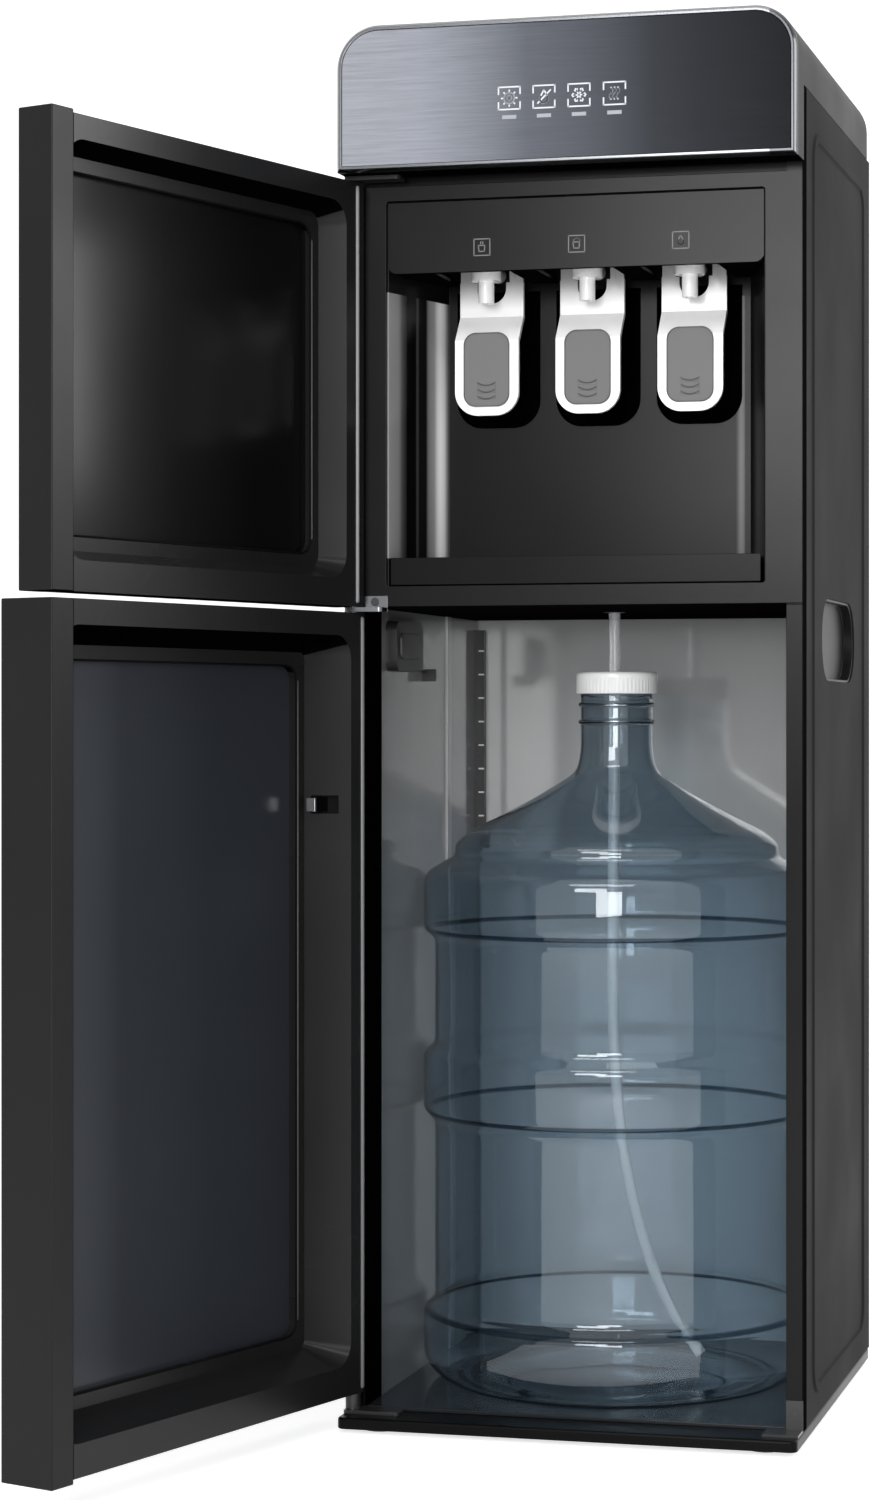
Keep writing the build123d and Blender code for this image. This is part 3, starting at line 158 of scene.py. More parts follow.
# Metal brushed from side to side, with a painted reflection that runs from silver at one end to near black at the
# other
def brushedFinish(name, values):
    made, tree, shader = startFinish(name)
    streaks = node(tree, "ShaderNodeTexNoise", Scale=values["streakScale"], Detail=6.0, Roughness=0.7)
    tree.links.new(objectPattern(tree, values["streakStretch"]), streaks.inputs["Vector"])
    across = spread(tree, placeAlong(tree, "X"), 0, 1, values["left"], values["right"])
    streakShare = spread(tree, streaks.outputs["Fac"], 0, 1)
    mix = node(tree, "ShaderNodeMix", data_type="RGBA", blend_type="MULTIPLY")
    mix.inputs["Factor"].default_value = 1
    tree.links.new(toneRamp(tree, across, values["tones"]), mix.inputs[6])
    tree.links.new(toneRamp(tree, streakShare, values["streakTones"]), mix.inputs[7])
    tree.links.new(mix.outputs[2], shader.inputs["Base Color"])
    bump = node(tree, "ShaderNodeBump", Strength=0.25, Distance=0.00005)
    tree.links.new(streaks.outputs["Fac"], bump.inputs["Height"])
    tree.links.new(bump.outputs["Normal"], shader.inputs["Normal"])
    tree.links.new(spread(tree, streaks.outputs["Fac"], 0.3, 0.44), shader.inputs["Roughness"])
    shader.inputs["Metallic"].default_value = 0.7
    shader.inputs["Specular IOR Level"].default_value = 0.12
    return made


# 1 where an object coordinate lies between low and high, else 0
def between(tree, axis, low, high):
    place = placeAlong(tree, axis)
    above = maths(tree, "GREATER_THAN", place, low)
    return maths(tree, "MULTIPLY", above, maths(tree, "LESS_THAN", place, high))


# 1 on faces that look down, else 0
def facingDown(tree, steepness=-0.6):
    shape = tree.nodes.new("ShaderNodeNewGeometry")
    parts = tree.nodes.new("ShaderNodeSeparateXYZ")
    tree.links.new(shape.outputs["Normal"], parts.inputs["Vector"])
    return maths(tree, "LESS_THAN", parts.outputs["Z"], steepness)


# 1 where the eye, a mirror or a clear piece sees the surface itself, else 0
def seenDirectly(tree):
    path = tree.nodes.new("ShaderNodeLightPath")
    seen = maths(tree, "MAXIMUM", path.outputs["Is Camera Ray"], path.outputs["Is Glossy Ray"])
    return maths(tree, "MAXIMUM", seen, path.outputs["Is Transmission Ray"])


# A colour mixed over a finish's own colour by a factor, and its gloss taken down there by a share
def laidOver(finish, factor, colour, dull=0.0):
    tree = finish.node_tree
    shader = tree.nodes["Principled BSDF"]
    mix = node(tree, "ShaderNodeMix", data_type="RGBA")
    tree.links.new(factor, mix.inputs[0])
    if shader.inputs["Base Color"].is_linked:
        tree.links.new(shader.inputs["Base Color"].links[0].from_socket, mix.inputs[6])
    else:
        mix.inputs[6].default_value = shader.inputs["Base Color"].default_value
    if isinstance(colour, tuple):
        mix.inputs[7].default_value = (*colour, 1)
    else:
        tree.links.new(colour, mix.inputs[7])
    tree.links.new(mix.outputs[2], shader.inputs["Base Color"])
    if dull:
        gloss = node(tree, "ShaderNodeMapRange")
        level = shader.inputs["Specular IOR Level"]
        gloss.inputs["To Min"].default_value = level.default_value
        if level.is_linked:
            tree.links.new(level.links[0].from_socket, gloss.inputs["To Min"])
        gloss.inputs["To Max"].default_value = level.default_value * (1 - dull)
        tree.links.new(factor, gloss.inputs["Value"])
        tree.links.new(gloss.outputs["Result"], level)


# Grey bands along one object axis between two places: pairs of share and grey
def greyBands(tree, axis, start, end, stops):
    share = spread(tree, placeAlong(tree, axis), 0, 1, start, end)
    return toneRamp(tree, share, [(at, (grey, grey, grey)) for at, grey in stops])


# Clear plastic that lets its shadow through, tinted
def clearFinish(name, colour, roughness, ior, tint):
    made, tree, shader = startFinish(name)
    ripples = node(tree, "ShaderNodeTexNoise", Scale=18, Detail=2.0)
    tree.links.new(objectPattern(tree, (1, 1, 0.6)), ripples.inputs["Vector"])
    bump = node(tree, "ShaderNodeBump", Strength=0.5, Distance=0.0004)
    tree.links.new(ripples.outputs["Fac"], bump.inputs["Height"])
    tree.links.new(bump.outputs["Normal"], shader.inputs["Normal"])
    shader.inputs["Base Color"].default_value = (*colour, 1)
    shader.inputs["Roughness"].default_value = roughness
    shader.inputs["IOR"].default_value = ior
    shader.inputs["Transmission Weight"].default_value = 1
    through = node(tree, "ShaderNodeBsdfTransparent", Color=(*tint, 1))
    path = tree.nodes.new("ShaderNodeLightPath")
    mix = tree.nodes.new("ShaderNodeMixShader")
    tree.links.new(path.outputs["Is Shadow Ray"], mix.inputs[0])
    tree.links.new(shader.outputs[0], mix.inputs[1])
    tree.links.new(through.outputs[0], mix.inputs[2])
    tree.links.new(mix.outputs[0], tree.nodes["Material Output"].inputs["Surface"])
    return made


# Painted reflection on the head panel: its tones run from silver at the left to near black at the right
headTones = {
    "streakScale": 14,
    "streakStretch": (1.6, 60, 60),
    "streakTones": [(0, (0.72, 0.72, 0.72)), (1, (1, 1, 1))],
    "left": -0.15,
    "right": 0.15,
    "tones": [
        (0.0, (0.24, 0.25, 0.275)),
        (0.18, (0.195, 0.205, 0.232)),
        (0.42, (0.066, 0.071, 0.084)),
        (0.7, (0.0165, 0.018, 0.0215)),
        (0.8, (0.0102, 0.0112, 0.0136)),
        (1.0, (0.004, 0.0044, 0.0053)),
    ],
}
satinBlack = mouldedFinish("satinBlackMoulding", (0.01, 0.01, 0.0105), 0.36, specular=0.15)
coverBlack = mouldedFinish("coverMoulding", (0.012, 0.012, 0.0125), 0.5, specular=0.12)
paintedSide = mouldedFinish("blackPaintedSheet", (0.02, 0.02, 0.0205), 0.7, specular=0.05, grain=700, depth=0.00005)
backSheet = mouldedFinish("blackPaintedBack", (0.02, 0.02, 0.02), 0.55, specular=0.2, grain=700, depth=0.00005)
glossBay = mouldedFinish("glossBayMoulding", (0.004, 0.004, 0.004), 0.2, specular=0.1, depth=0.00001)
hoodGrey = mouldedFinish("hoodMoulding", (0.003, 0.003, 0.003), 0.21, specular=0.14, depth=0.00002)
frameGrey = mouldedFinish("frameMoulding", (0.003, 0.003, 0.0031), 0.21, specular=0.14)
linerGrey = mouldedFinish("compartmentMoulding", (0.3, 0.3, 0.3), 0.09, depth=0.00001, tone=0.06)
ceilingBlack = mouldedFinish("compartmentCeiling", (0.004, 0.004, 0.004), 0.4, specular=0.0)
floorGloss = mouldedFinish("compartmentFloor", (0.014, 0.0165, 0.019), 0.1, specular=0.24, depth=0.00001)
stripGrey = mouldedFinish("doorEdgeStrip", (0.007, 0.007, 0.0072), 0.34, specular=0.16)
doorBlack = mouldedFinish("doorMoulding", (0.009, 0.009, 0.0093), 0.26, specular=0.2, depth=0.00002)
brightTrim = mouldedFinish("brightTrim", (0.16, 0.165, 0.175), 0.2, metal=1.0, depth=0.00001)
darkSteel = mouldedFinish("darkSteel", (0.012, 0.012, 0.013), 0.34, specular=0.2, depth=0.00003)
baseBlack = mouldedFinish("basePlate", (0.0018, 0.0018, 0.002), 0.3, specular=0.07, depth=0.00001)
bracketSteel = mouldedFinish("bracketSteel", (0.035, 0.035, 0.036), 0.3, metal=0.6, depth=0.00003)
whiteGloss = mouldedFinish("whiteGlossMoulding", (0.88, 0.88, 0.88), 0.16, depth=0.00001, tone=0.02)
# A copy of the white moulding for the levers, carrying a painted shade at their tops
leverShadedGloss = mouldedFinish("leverGlossMoulding", (0.88, 0.88, 0.88), 0.16, depth=0.00001, tone=0.02)
padGrey = mouldedFinish("softGreyPad", (0.145, 0.145, 0.147), 0.55, specular=0.3, tone=0.04)
padShade = mouldedFinish("padShade", (0.085, 0.085, 0.087), 0.5, specular=0.3, tone=0.04)
darkPlastic = mouldedFinish("darkSmallParts", (0.012, 0.012, 0.012), 0.36, specular=0.3)
rubberBlack = mouldedFinish("footRubber", (0.01, 0.01, 0.01), 0.7, specular=0.2, depth=0.00008)
tankSteel = mouldedFinish("tankSteel", (0.5, 0.5, 0.5), 0.3, metal=1.0, stretch=(1, 1, 12))
sinkAlloy = mouldedFinish("sinkAlloy", (0.62, 0.62, 0.63), 0.34, metal=1.0, stretch=(1, 1, 10))
foamWhite = mouldedFinish("foam", (0.72, 0.72, 0.7), 0.8, grain=500, depth=0.0003)
boardGreen = mouldedFinish("boardGreen", (0.02, 0.13, 0.05), 0.35)
hoseClear = mouldedFinish("hoseMilky", (0.6, 0.62, 0.62), 0.3)
signWhite = mouldedFinish("printedSign", (0.62, 0.64, 0.68), 0.45, tone=0.04)
signSoft = mouldedFinish("printedMark", (0.3, 0.31, 0.33), 0.45, tone=0.04)
signDim = mouldedFinish("printedSignDim", (0.13, 0.13, 0.13), 0.45, tone=0.04)
markWhite = mouldedFinish("levelMark", (0.7, 0.7, 0.7), 0.5)
headBrushed = brushedFinish("headBrushed", headTones)
upperGlass = mouldedFinish("upperDoorGlass", (0.003, 0.003, 0.003), 0.17, specular=0.14, grain=30, depth=0.00001)
lowerGlass = mouldedFinish("lowerDoorGlass", (0.019, 0.0215, 0.027), 0.2, specular=0.13, grain=30, depth=0.00001)
bottleBlue = clearFinish("bottleBlue", (0.57, 0.64, 0.69), 0.02, 1.42, (0.93, 0.955, 0.97))
tubeClear = clearFinish("tubeMilky", (0.8, 0.82, 0.83), 0.15, 1.3, (0.93, 0.94, 0.94))
sealBlack = mouldedFinish("windowSeal", (0.002, 0.002, 0.002), 0.5, specular=0.05, depth=0.00001)
# A thin painted highlight beside the dark bead round each door window
sealPaintedHighlight = mouldedFinish("windowSealSheen", (0.07, 0.07, 0.071), 0.3, specular=0.3, depth=0.00001)
# Painted highlight along the doors' hinge-side lips, with a dimmer copy for the lower door
lipPaintedHighlight = mouldedFinish("lipSheen", (0.2, 0.2, 0.2), 0.3, depth=0.00001, tone=0.03)
lipPaintedHighlightDim = mouldedFinish("lipSheenDim", (0.12, 0.12, 0.122), 0.3, depth=0.00001, tone=0.03)
catchFinish = mouldedFinish("catchSteel", (0.5, 0.5, 0.51), 0.24, metal=1.0, depth=0.00002)

# Where a finish changes: object axis, low and high
zones = {
    "leverTopShade": ("Z", 0.743, 0.79),
    "tubeAboveCap": ("Z", 0.488, 0.56),
    "hoodUndersideShade": ("Z", 0.75, 0.7614),
    "catchRear": ("Y", -0.1505, -0.12),
    "trimRightShade": ("X", 0.135, 0.16),
    "linerLeftShade": ("X", -0.142, -0.1395),
    "postLeftInside": ("X", -0.1415, -0.14),
    "postLower": ("Z", 0, 0.5412),
    "postRightOutsideShade": ("X", 0.1513, 0.153),
    "bayHeight": ("Z", 0.5737, 0.7495),
    "bayLeft": ("X", -0.128, -0.1042),
    "bayRightCorner": ("X", 0.0945, 0.1048),
    "pocketDepth": ("Y", -0.0548, -0.03),
}

# Bands of grey painted into a finish as shade and reflections: object axis, start, end, and pairs of share and grey
bands = {
    "leverTopShade": ("Z", 0.743, 0.763, [(0, 0.88), (0.4, 0.62), (0.8, 0.42), (1, 0.36)]),
    "lowerGlass": ("X", -0.2691, -0.1748, [(0, 1), (0.2, 0.85), (0.32, 0.2), (0.6, 0)]),
    "upperGlass": ("X", -0.2563, -0.162, [(0, 1), (0.2, 0.7), (0.45, 0.25), (0.7, 0)]),
    "linerLeftShade": ("Y", -0.128, 0.12, [(0, 0.05), (0.2, 0.13), (0.45, 0.19), (1, 0.21)]),
    # painted reflections of the bay's rounded rear corners, light and dark bands on its left wall and at its right
    # end
    "bayLeft": ("Y", -0.1278, -0.0558, [
        (0.0, 0.24), (0.19, 0.19), (0.25, 0.06), (0.33, 0.002), (0.46, 0.002),
        (0.49, 0.05), (0.52, 0.006), (0.63, 0.006), (0.67, 0.2), (0.76, 0.32),
        (0.82, 0.85), (0.86, 1.0), (0.92, 0.8), (0.96, 0.34), (1.0, 0.03),
    ]),
    "bayRightCorner": ("X", 0.0945, 0.1048, [(0, 0.006), (0.3, 0.14), (0.5, 0.1), (0.62, 0.003), (1, 0.001)]),
}
# Near black, painted where shade falls
paintedShadeBlack = (0.001, 0.001, 0.001)


def zone(finish, name):
    return between(finish.node_tree, *zones[name])


def banded(finish, name):
    return greyBands(finish.node_tree, *bands[name])


tubeTree = tubeClear.node_tree
clearness = spread(tubeTree, zone(tubeClear, "tubeAboveCap"), 0.86, 0.75, 0, 1)
tubeTree.links.new(clearness, tubeTree.nodes["Principled BSDF"].inputs["Transmission Weight"])
# Painted shade: the lever tops up under the hood turn grey towards the top
laidOver(leverShadedGloss, zone(leverShadedGloss, "leverTopShade"), banded(leverShadedGloss, "leverTopShade"))
# Painted shade: a band under the hood is painted near black with no gloss
laidOver(hoodGrey, zone(hoodGrey, "hoodUndersideShade"), (0.002, 0.002, 0.002), dull=1.0)
# Painted shade: faces that look down on the doors, frame, liner, cover and door edges are painted near black with
# no gloss
for shaded in (doorBlack, frameGrey, linerGrey, coverBlack, stripGrey):
    laidOver(shaded, facingDown(shaded.node_tree), paintedShadeBlack, dull=1.0)
laidOver(catchFinish, zone(catchFinish, "catchRear"), (0.004, 0.004, 0.004), dull=0.9)
# Painted shade: dark lines round the clear bottle at the steps of its rings
ringShadeLines = {"heights": (0.3225, 0.1985, 0.061), "half": 0.0014, "colour": (0.1, 0.15, 0.2)}
for height in ringShadeLines["heights"]:
    shadeLine = between(bottleBlue.node_tree, "Z", height - ringShadeLines["half"], height + ringShadeLines["half"])
    laidOver(bottleBlue, shadeLine, ringShadeLines["colour"])
# Painted reflections: the door glasses are painted grey at their free ends, fading to black towards the hinge
laidOver(lowerGlass, banded(lowerGlass, "lowerGlass"), (0.055, 0.06, 0.072))
laidOver(upperGlass, banded(upperGlass, "upperGlass"), (0.016, 0.016, 0.016))
# Painted shade: the bright trim's right end is painted dark
laidOver(brightTrim, zone(brightTrim, "trimRightShade"), (0.05, 0.052, 0.056))
# Painted shade: the compartment's left wall is painted darker towards the front
laidOver(linerGrey, zone(linerGrey, "linerLeftShade"), banded(linerGrey, "linerLeftShade"))
# Painted shade: the inner face of the left post along the compartment, in the open door's shadow, is painted near
# black with no gloss
postTree = frameGrey.node_tree
postInsideShade = maths(postTree, "MULTIPLY", zone(frameGrey, "postLeftInside"), zone(frameGrey, "postLower"))
laidOver(frameGrey, postInsideShade, paintedShadeBlack, dull=1.0)
# Painted shade: the outer edge of the frame's right side is painted near black with no gloss, so its rounded edge
# shows no highlight
laidOver(frameGrey, zone(frameGrey, "postRightOutsideShade"), (0.004, 0.004, 0.004), dull=1.0)
# Painted reflections: light and dark bands on the bay's left wall and at its right rear corner, over the bay's
# height
for part in ("bayLeft", "bayRightCorner"):
    paintedReflection = maths(glossBay.node_tree, "MULTIPLY", zone(glossBay, part), zone(glossBay, "bayHeight"))
    laidOver(glossBay, paintedReflection, banded(glossBay, part))
# Painted shade: the lever pockets behind the bay's back wall are painted near black with no gloss
laidOver(glossBay, zone(glossBay, "pocketDepth"), paintedShadeBlack, dull=1.0)
print("finishes made")


def placePiece(name, mesh, finish, body, slotName, *replaced):
    piece = bpy.data.objects.new(name, mesh)
    scene.collection.objects.link(piece)
    mesh.materials.clear()
    mesh.materials.append(finish)
    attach(piece, body)
    if replaced:
        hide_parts(*replaced)
    return piece


# A mesh over a grid of points: rows run along the first index, columns along the second
def gridMesh(name, points, closeU=False, closeV=False, flip=False):
    rows, columns = points.shape[:2]
    index = np.arange(rows * columns).reshape(rows, columns)
    if closeU:
        index = np.vstack((index, index[:1]))
    if closeV:
        index = np.hstack((index, index[:, :1]))
    corners = (index[:-1, :-1], index[1:, :-1], index[1:, 1:], index[:-1, 1:])
    faces = np.stack([c.ravel() for c in (corners[::-1] if flip else corners)], axis=1)
    mesh = bpy.data.meshes.new(name)
    mesh.from_pydata(points.reshape(-1, 3).tolist(), [], faces.tolist())
    mesh.polygons.foreach_set("use_smooth", np.ones(len(faces), bool))
    return mesh


# Doubles merged and normals turned outwards, for a closed shape
def outward(mesh, weld=1e-6):
    work = bmesh.new()
    work.from_mesh(mesh)
    bmesh.ops.remove_doubles(work, verts=work.verts, dist=weld)
    bmesh.ops.recalc_face_normals(work, faces=work.faces)
    work.to_mesh(mesh)
    work.free()
    return mesh


# A merged copy of a node, with its sharp edges rounded by a small bevel, that stands for the node
def finished(nodeName, finish, slotName, edgeRound, weld=2e-6, flat=0.6, bend=32):
    mesh = nodes[nodeName].data.copy()
    mesh.name = nodeName + "_finished"
    work = bmesh.new()
    work.from_mesh(mesh)
    bmesh.ops.remove_doubles(work, verts=work.verts, dist=weld)
    bmesh.ops.dissolve_limit(work, angle_limit=math.radians(flat), verts=work.verts, edges=work.edges)
    for face in work.faces:
        face.smooth = True
    for edge in work.edges:
        edge.smooth = len(edge.link_faces) == 2 and edge.calc_face_angle(0) < math.radians(bend)
    work.to_mesh(mesh)
    work.free()
    piece = placePiece(mesh.name, mesh, finish, nodes[nodeName]["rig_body"], slotName, nodeName)
    bevel = piece.modifiers.new("edges", "BEVEL")
    bevel.width = edgeRound
    bevel.segments = 2
    bevel.limit_method = "ANGLE"
    bevel.angle_limit = math.radians(bend)
    bevel.harden_normals = True


tapPlaces = {"hot": -0.0695, "warm": 0.0, "cold": 0.0695}
finishedNodes = [
    ("base_plate", baseBlack, "satin_black_moulding", 0.0008),
    ("base_feet", rubberBlack, "rubber_foot", 0.0005),
    ("side_panel_left", paintedSide, "black_steel_sheet", 0.0003),
    ("side_panel_right", paintedSide, "black_steel_sheet", 0.0003),
    ("back_panel", backSheet, "black_steel_sheet", 0.0002),
    ("front_frame", frameGrey, "grey_moulding", 0.0006),
    ("top_cover", coverBlack, "satin_black_moulding", 0.0008),
    ("head_trim", brightTrim, "bright_metal", 0.0004),
    ("head_panel", headBrushed, "brushed_face", 0.0003),
    ("bay_liner", glossBay, "gloss_black_moulding", 0.0008),
    ("tap_hood", hoodGrey, "gloss_black_moulding", 0.0006),
    ("compartment_liner", linerGrey, "gloss_black_moulding", 0.0005),
    ("compartment_ceiling", ceilingBlack, "gloss_black_moulding", 0.0005),
    ("compartment_floor", floorGloss, "satin_black_moulding", 0.0005),
    ("grip_cups", satinBlack, "satin_black_moulding", 0.0008),
    ("compartment_fittings", darkPlastic, "dark_grille", 0.0003),
    ("hose_gland", darkPlastic, "dark_grille", 0.0005),
    ("top_hinge", darkSteel, "bright_metal", 0.0004),
    ("mid_hinge", brightTrim, "bright_metal", 0.0004),
    ("bottom_brackets", bracketSteel, "bright_metal", 0.0004),
    ("drip_tray", glossBay, "gloss_black_moulding", 0.0005),
    ("drip_grille", glossBay, "dark_grille", 0.0003),
    ("upper_door_frame", doorBlack, "satin_black_moulding", 0.0016),
    ("upper_door_glass", upperGlass, "black_glass", 0.0003),
    ("upper_door_edge", stripGrey, "grey_moulding", 0.0008),
    ("lower_door_frame", doorBlack, "satin_black_moulding", 0.0016),
    ("lower_door_glass", lowerGlass, "black_glass", 0.0003),
    ("lower_door_edge", stripGrey, "grey_moulding", 0.0008),
    ("door_catch", catchFinish, "bright_metal", 0.0003),
    ("screws", bracketSteel, "bright_metal", 0.0003),
    ("heat_switch", darkPlastic, "dark_grille", 0.0004),
    ("cool_switch", darkPlastic, "dark_grille", 0.0004),
    ("rear_switch_panel", darkPlastic, "dark_grille", 0.0005),
    ("power_inlet", darkPlastic, "dark_grille", 0.0005),
    ("drain_cap", darkPlastic, "dark_grille", 0.0004),
]
for tapName in tapPlaces:
    finishedNodes += [
        ("tap_body_" + tapName, whiteGloss, "white_moulding", 0.0003),
        ("tap_lever_" + tapName, leverShadedGloss, "white_moulding", 0.0008),
        ("lever_pad_" + tapName, padGrey, "soft_grey", 0.0003),
        ("valve_stem_" + tapName, tankSteel, "stainless", 0.0002),
    ]
for nodeName, finish, slotName, edgeRound in finishedNodes:
    finished(nodeName, finish, slotName, edgeRound)


# A closed block between two corners
def blockMesh(name, low, high):
    mesh = bpy.data.meshes.new(name)
    places = [[(low, high)[(index >> axis) & 1][axis] for axis in range(3)] for index in range(8)]
    sides = [(0, 2, 3, 1), (4, 5, 7, 6), (0, 1, 5, 4), (2, 6, 7, 3), (0, 4, 6, 2), (1, 3, 7, 5)]
    mesh.from_pydata(places, [], sides)
    return mesh


# The lever's shoulders run on up into the hood on both sides of the nozzle
shoulder = {
    "inner": 0.0135,
    "outer": 0.0216,
    "front": -0.0732,
    "back": -0.0706,
    "low": 0.7598,
    "high": 0.772,
}
for tapName, tapX in tapPlaces.items():
    for side, sign in (("left", -1), ("right", 1)):
        ends = sorted((tapX + sign * shoulder["inner"], tapX + sign * shoulder["outer"]))
        low, high = (ends[0], shoulder["front"], shoulder["low"]), (ends[1], shoulder["back"], shoulder["high"])
        mesh = blockMesh("lever_shoulder_%s_%s" % (tapName, side), low, high)
        placePiece(mesh.name, mesh, leverShadedGloss, "lever_" + tapName, "white_moulding")

doorPlane = {"pivot": (-0.1475, -0.1352), "turn": math.radians(-108.5)}
doorLips = {
    "upper_door": {"along": 0.0022, "radius": 0.0014, "low": 0.5435, "high": 0.8185, "finish": lipPaintedHighlight},
    "lower_door": {"along": -0.0032, "radius": 0.0015, "low": 0.0255, "high": 0.535, "finish": lipPaintedHighlightDim},
}
lipShape = {"face": 0.005, "around": 16}


# A door's own place across and out, in x and y: turned by the door's angle about its pivot
def doorToRoom(across, out):
    c, s = math.cos(doorPlane["turn"]), math.sin(doorPlane["turn"])
    return doorPlane["pivot"][0] + across * c - out * s, doorPlane["pivot"][1] + across * s + out * c


# The rounded lip on the hinge side of a door's inner face: a slim upright bead with domed ends, finished with a
# painted highlight
def lipMesh(name, values):
    radius, low, high = values["radius"], values["low"], values["high"]
    x, y = doorToRoom(values["along"], lipShape["face"])
    angle = np.linspace(0, 2 * np.pi, lipShape["around"], endpoint=False)
    rise = np.array([
        (0, low), (radius * 0.7, low + radius * 0.3), (radius, low + radius),
        (radius, high - radius), (radius * 0.7, high - radius * 0.3), (0, high),
    ])
    ring = np.stack((x + rise[:, :1] * np.cos(angle), y + rise[:, :1] * np.sin(angle),
                     np.broadcast_to(rise[:, 1:], (len(rise), len(angle)))), axis=2)
    return outward(gridMesh(name, ring, closeV=True))


# A line of straight runs whose corners become parabolas that start a radius before each corner
def softened(points, radii, count=7):
    points = np.asarray(points, float)
    made = [points[:1]]
    for before, corner, after, radius in zip(points, points[1:], points[2:], radii):
        runIn, runOut = corner - before, after - corner
        lengthIn, lengthOut = np.linalg.norm(runIn), np.linalg.norm(runOut)
        reach = min(radius, 0.45 * lengthIn, 0.45 * lengthOut)
        start, end = corner - runIn / lengthIn * reach, corner + runOut / lengthOut * reach
        t = np.linspace(0, 1, count)[:, None]
        made.append((1 - t) ** 2 * start + 2 * (1 - t) * t * corner + t**2 * end)
    made.append(points[-1:])
    return np.vstack(made)


# A slim bead along a line in the door's own plane, closed to a point at both ends
def lineBead(name, line, radius, face, around=10):
    ahead = np.gradient(line, axis=0)
    ahead /= np.linalg.norm(ahead, axis=1)[:, None]
    line = np.vstack((line[:1] - ahead[:1] * radius, line, line[-1:] + ahead[-1:] * radius))
    ahead = np.vstack((ahead[:1], ahead, ahead[-1:]))
    sideways = np.stack((-ahead[:, 1], ahead[:, 0]), axis=1)
    radii = np.full(len(line), radius)
    radii[[0, -1]] = 0
    angle = np.linspace(0, 2 * np.pi, around, endpoint=False)
    inPlane = line[:, None] + sideways[:, None] * (radii[:, None] * np.cos(angle))[..., None]
    out = face + radii[:, None] * np.sin(angle)
    x, y = doorToRoom(inPlane[..., 0], out)
    return outward(gridMesh(name, np.stack((x, y, inPlane[..., 1]), axis=2), closeV=True))


windowBeads = {
    "upper_door": {"edge": 0.0296, "low": 0.5752, "high": 0.7904, "face": -0.013},
    "lower_door": {"edge": 0.0289, "low": 0.0629, "high": 0.5021, "face": -0.025},
}
beadShape = {"far": 0.277, "corner": 0.012, "radius": 0.0007}
paintedHighlightShape = {"aside": 0.0016, "inset": 0.01, "radius": 0.0006}

# Round each window opening a dark bead of three straight runs, with two rounded corners and a thin painted
# highlight beside it
for doorName, values in windowBeads.items():
    edge, low, high, face = values["edge"], values["low"], values["high"], values["face"]
    corners = [(beadShape["far"], high), (edge, high), (edge, low), (beadShape["far"], low)]
    outline = softened(corners, [beadShape["corner"]] * 2, 9)
    mesh = lineBead(doorName + "_window_bead", outline, beadShape["radius"], face)
    placePiece(mesh.name, mesh, sealBlack, doorName, "grey_moulding")
    edge, inset = edge - paintedHighlightShape["aside"], paintedHighlightShape["inset"]
    upright = softened([(edge, high - inset), (edge, (high + low) / 2), (edge, low + inset)], [inset])
    mesh = lineBead(doorName + "_window_painted_highlight", upright, paintedHighlightShape["radius"], face)
    placePiece(mesh.name, mesh, sealPaintedHighlight, doorName, "grey_moulding")
for doorName, values in doorLips.items():
    mesh = lipMesh(doorName + "_lip", values)
    placePiece(mesh.name, mesh, values["finish"], doorName, "grey_moulding")

# White ticks on the dark strip in the rear left corner
ticks = {
    "low": 0.3955,
    "pitch": 0.0175,
    "count": 8,
    "height": 0.0011,
    "left": -0.1378,
    "right": -0.1338,
    "front": 0.1392,
    "back": 0.1405,
}
for number in range(ticks["count"]):
    z = ticks["low"] + number * ticks["pitch"]
    mesh = blockMesh("level_tick_%d" % (number + 1), (ticks["left"], ticks["front"], z),
                     (ticks["right"], ticks["back"], z + ticks["height"]))
    placePiece(mesh.name, mesh, markWhite, "cabinet", "soft_grey")
print("outer pieces finished")

innerFinishes = {
    "hot_tank": tankSteel,
    "cold_tank": tankSteel,
    "cold_insulation": foamWhite,
    "peltier_module": foamWhite,
    "heat_sink": sinkAlloy,
    "fan_frame": darkPlastic,
    "fan_rotor": darkPlastic,
    "pump": darkPlastic,
    "inner_hoses": hoseClear,
    "circuit_boards": boardGreen,
}
for nodeName, finish in innerFinishes.items():
    nodes[nodeName].data.materials.clear()
    nodes[nodeName].data.materials.append(finish)


bottle = {
    "foot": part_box("water_bottle")[0].z,
    "mouth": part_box("water_bottle")[1].z,
    "axis": (-0.0025, 0.0102),
    "wall": 0.0016,
    "around": 144,
    "corner": 0.0035,
}


# Outer half section from the middle of the foot to the mouth: radius and height, corner by corner
def bottleProfile(values):
    foot, c = values["foot"], values["corner"]
    corners = [
        (0, foot + 0.009, 0), (0.0576, foot + 0.006, 0.02), (0.0844, foot, 0.006), (0.12, foot, 0.012),
        (0.134, foot + 0.014, 0.012), (0.134, 0.060, c), (0.126, 0.068, c), (0.126, 0.191, c), (0.134, 0.199, c),
        (0.134, 0.237, c), (0.126, 0.245, c), (0.126, 0.3155, c), (0.134, 0.3235, c), (0.134, 0.361, 0.008),
        (0.112, 0.3735, 0.004), (0.1125, 0.381, 0.004), (0.104, 0.389, 0.008), (0.06, 0.411, 0.02),
        (0.028, 0.431, 0.014), (0.025, 0.445, 0.01), (0.025, 0.4635, 0.001), (0.0266, 0.4645, 0.001),
        (0.0266, 0.4665, 0.001), (0.025, 0.4675, 0.001), (0.025, 0.4755, 0.001), (0.0266, 0.4765, 0.001),
        (0.0266, 0.4785, 0.001), (0.025, 0.4795, 0.001), (0.025, values["mouth"], 0),
    ]
    return softened([corner[:2] for corner in corners], [corner[2] for corner in corners[1:-1]])


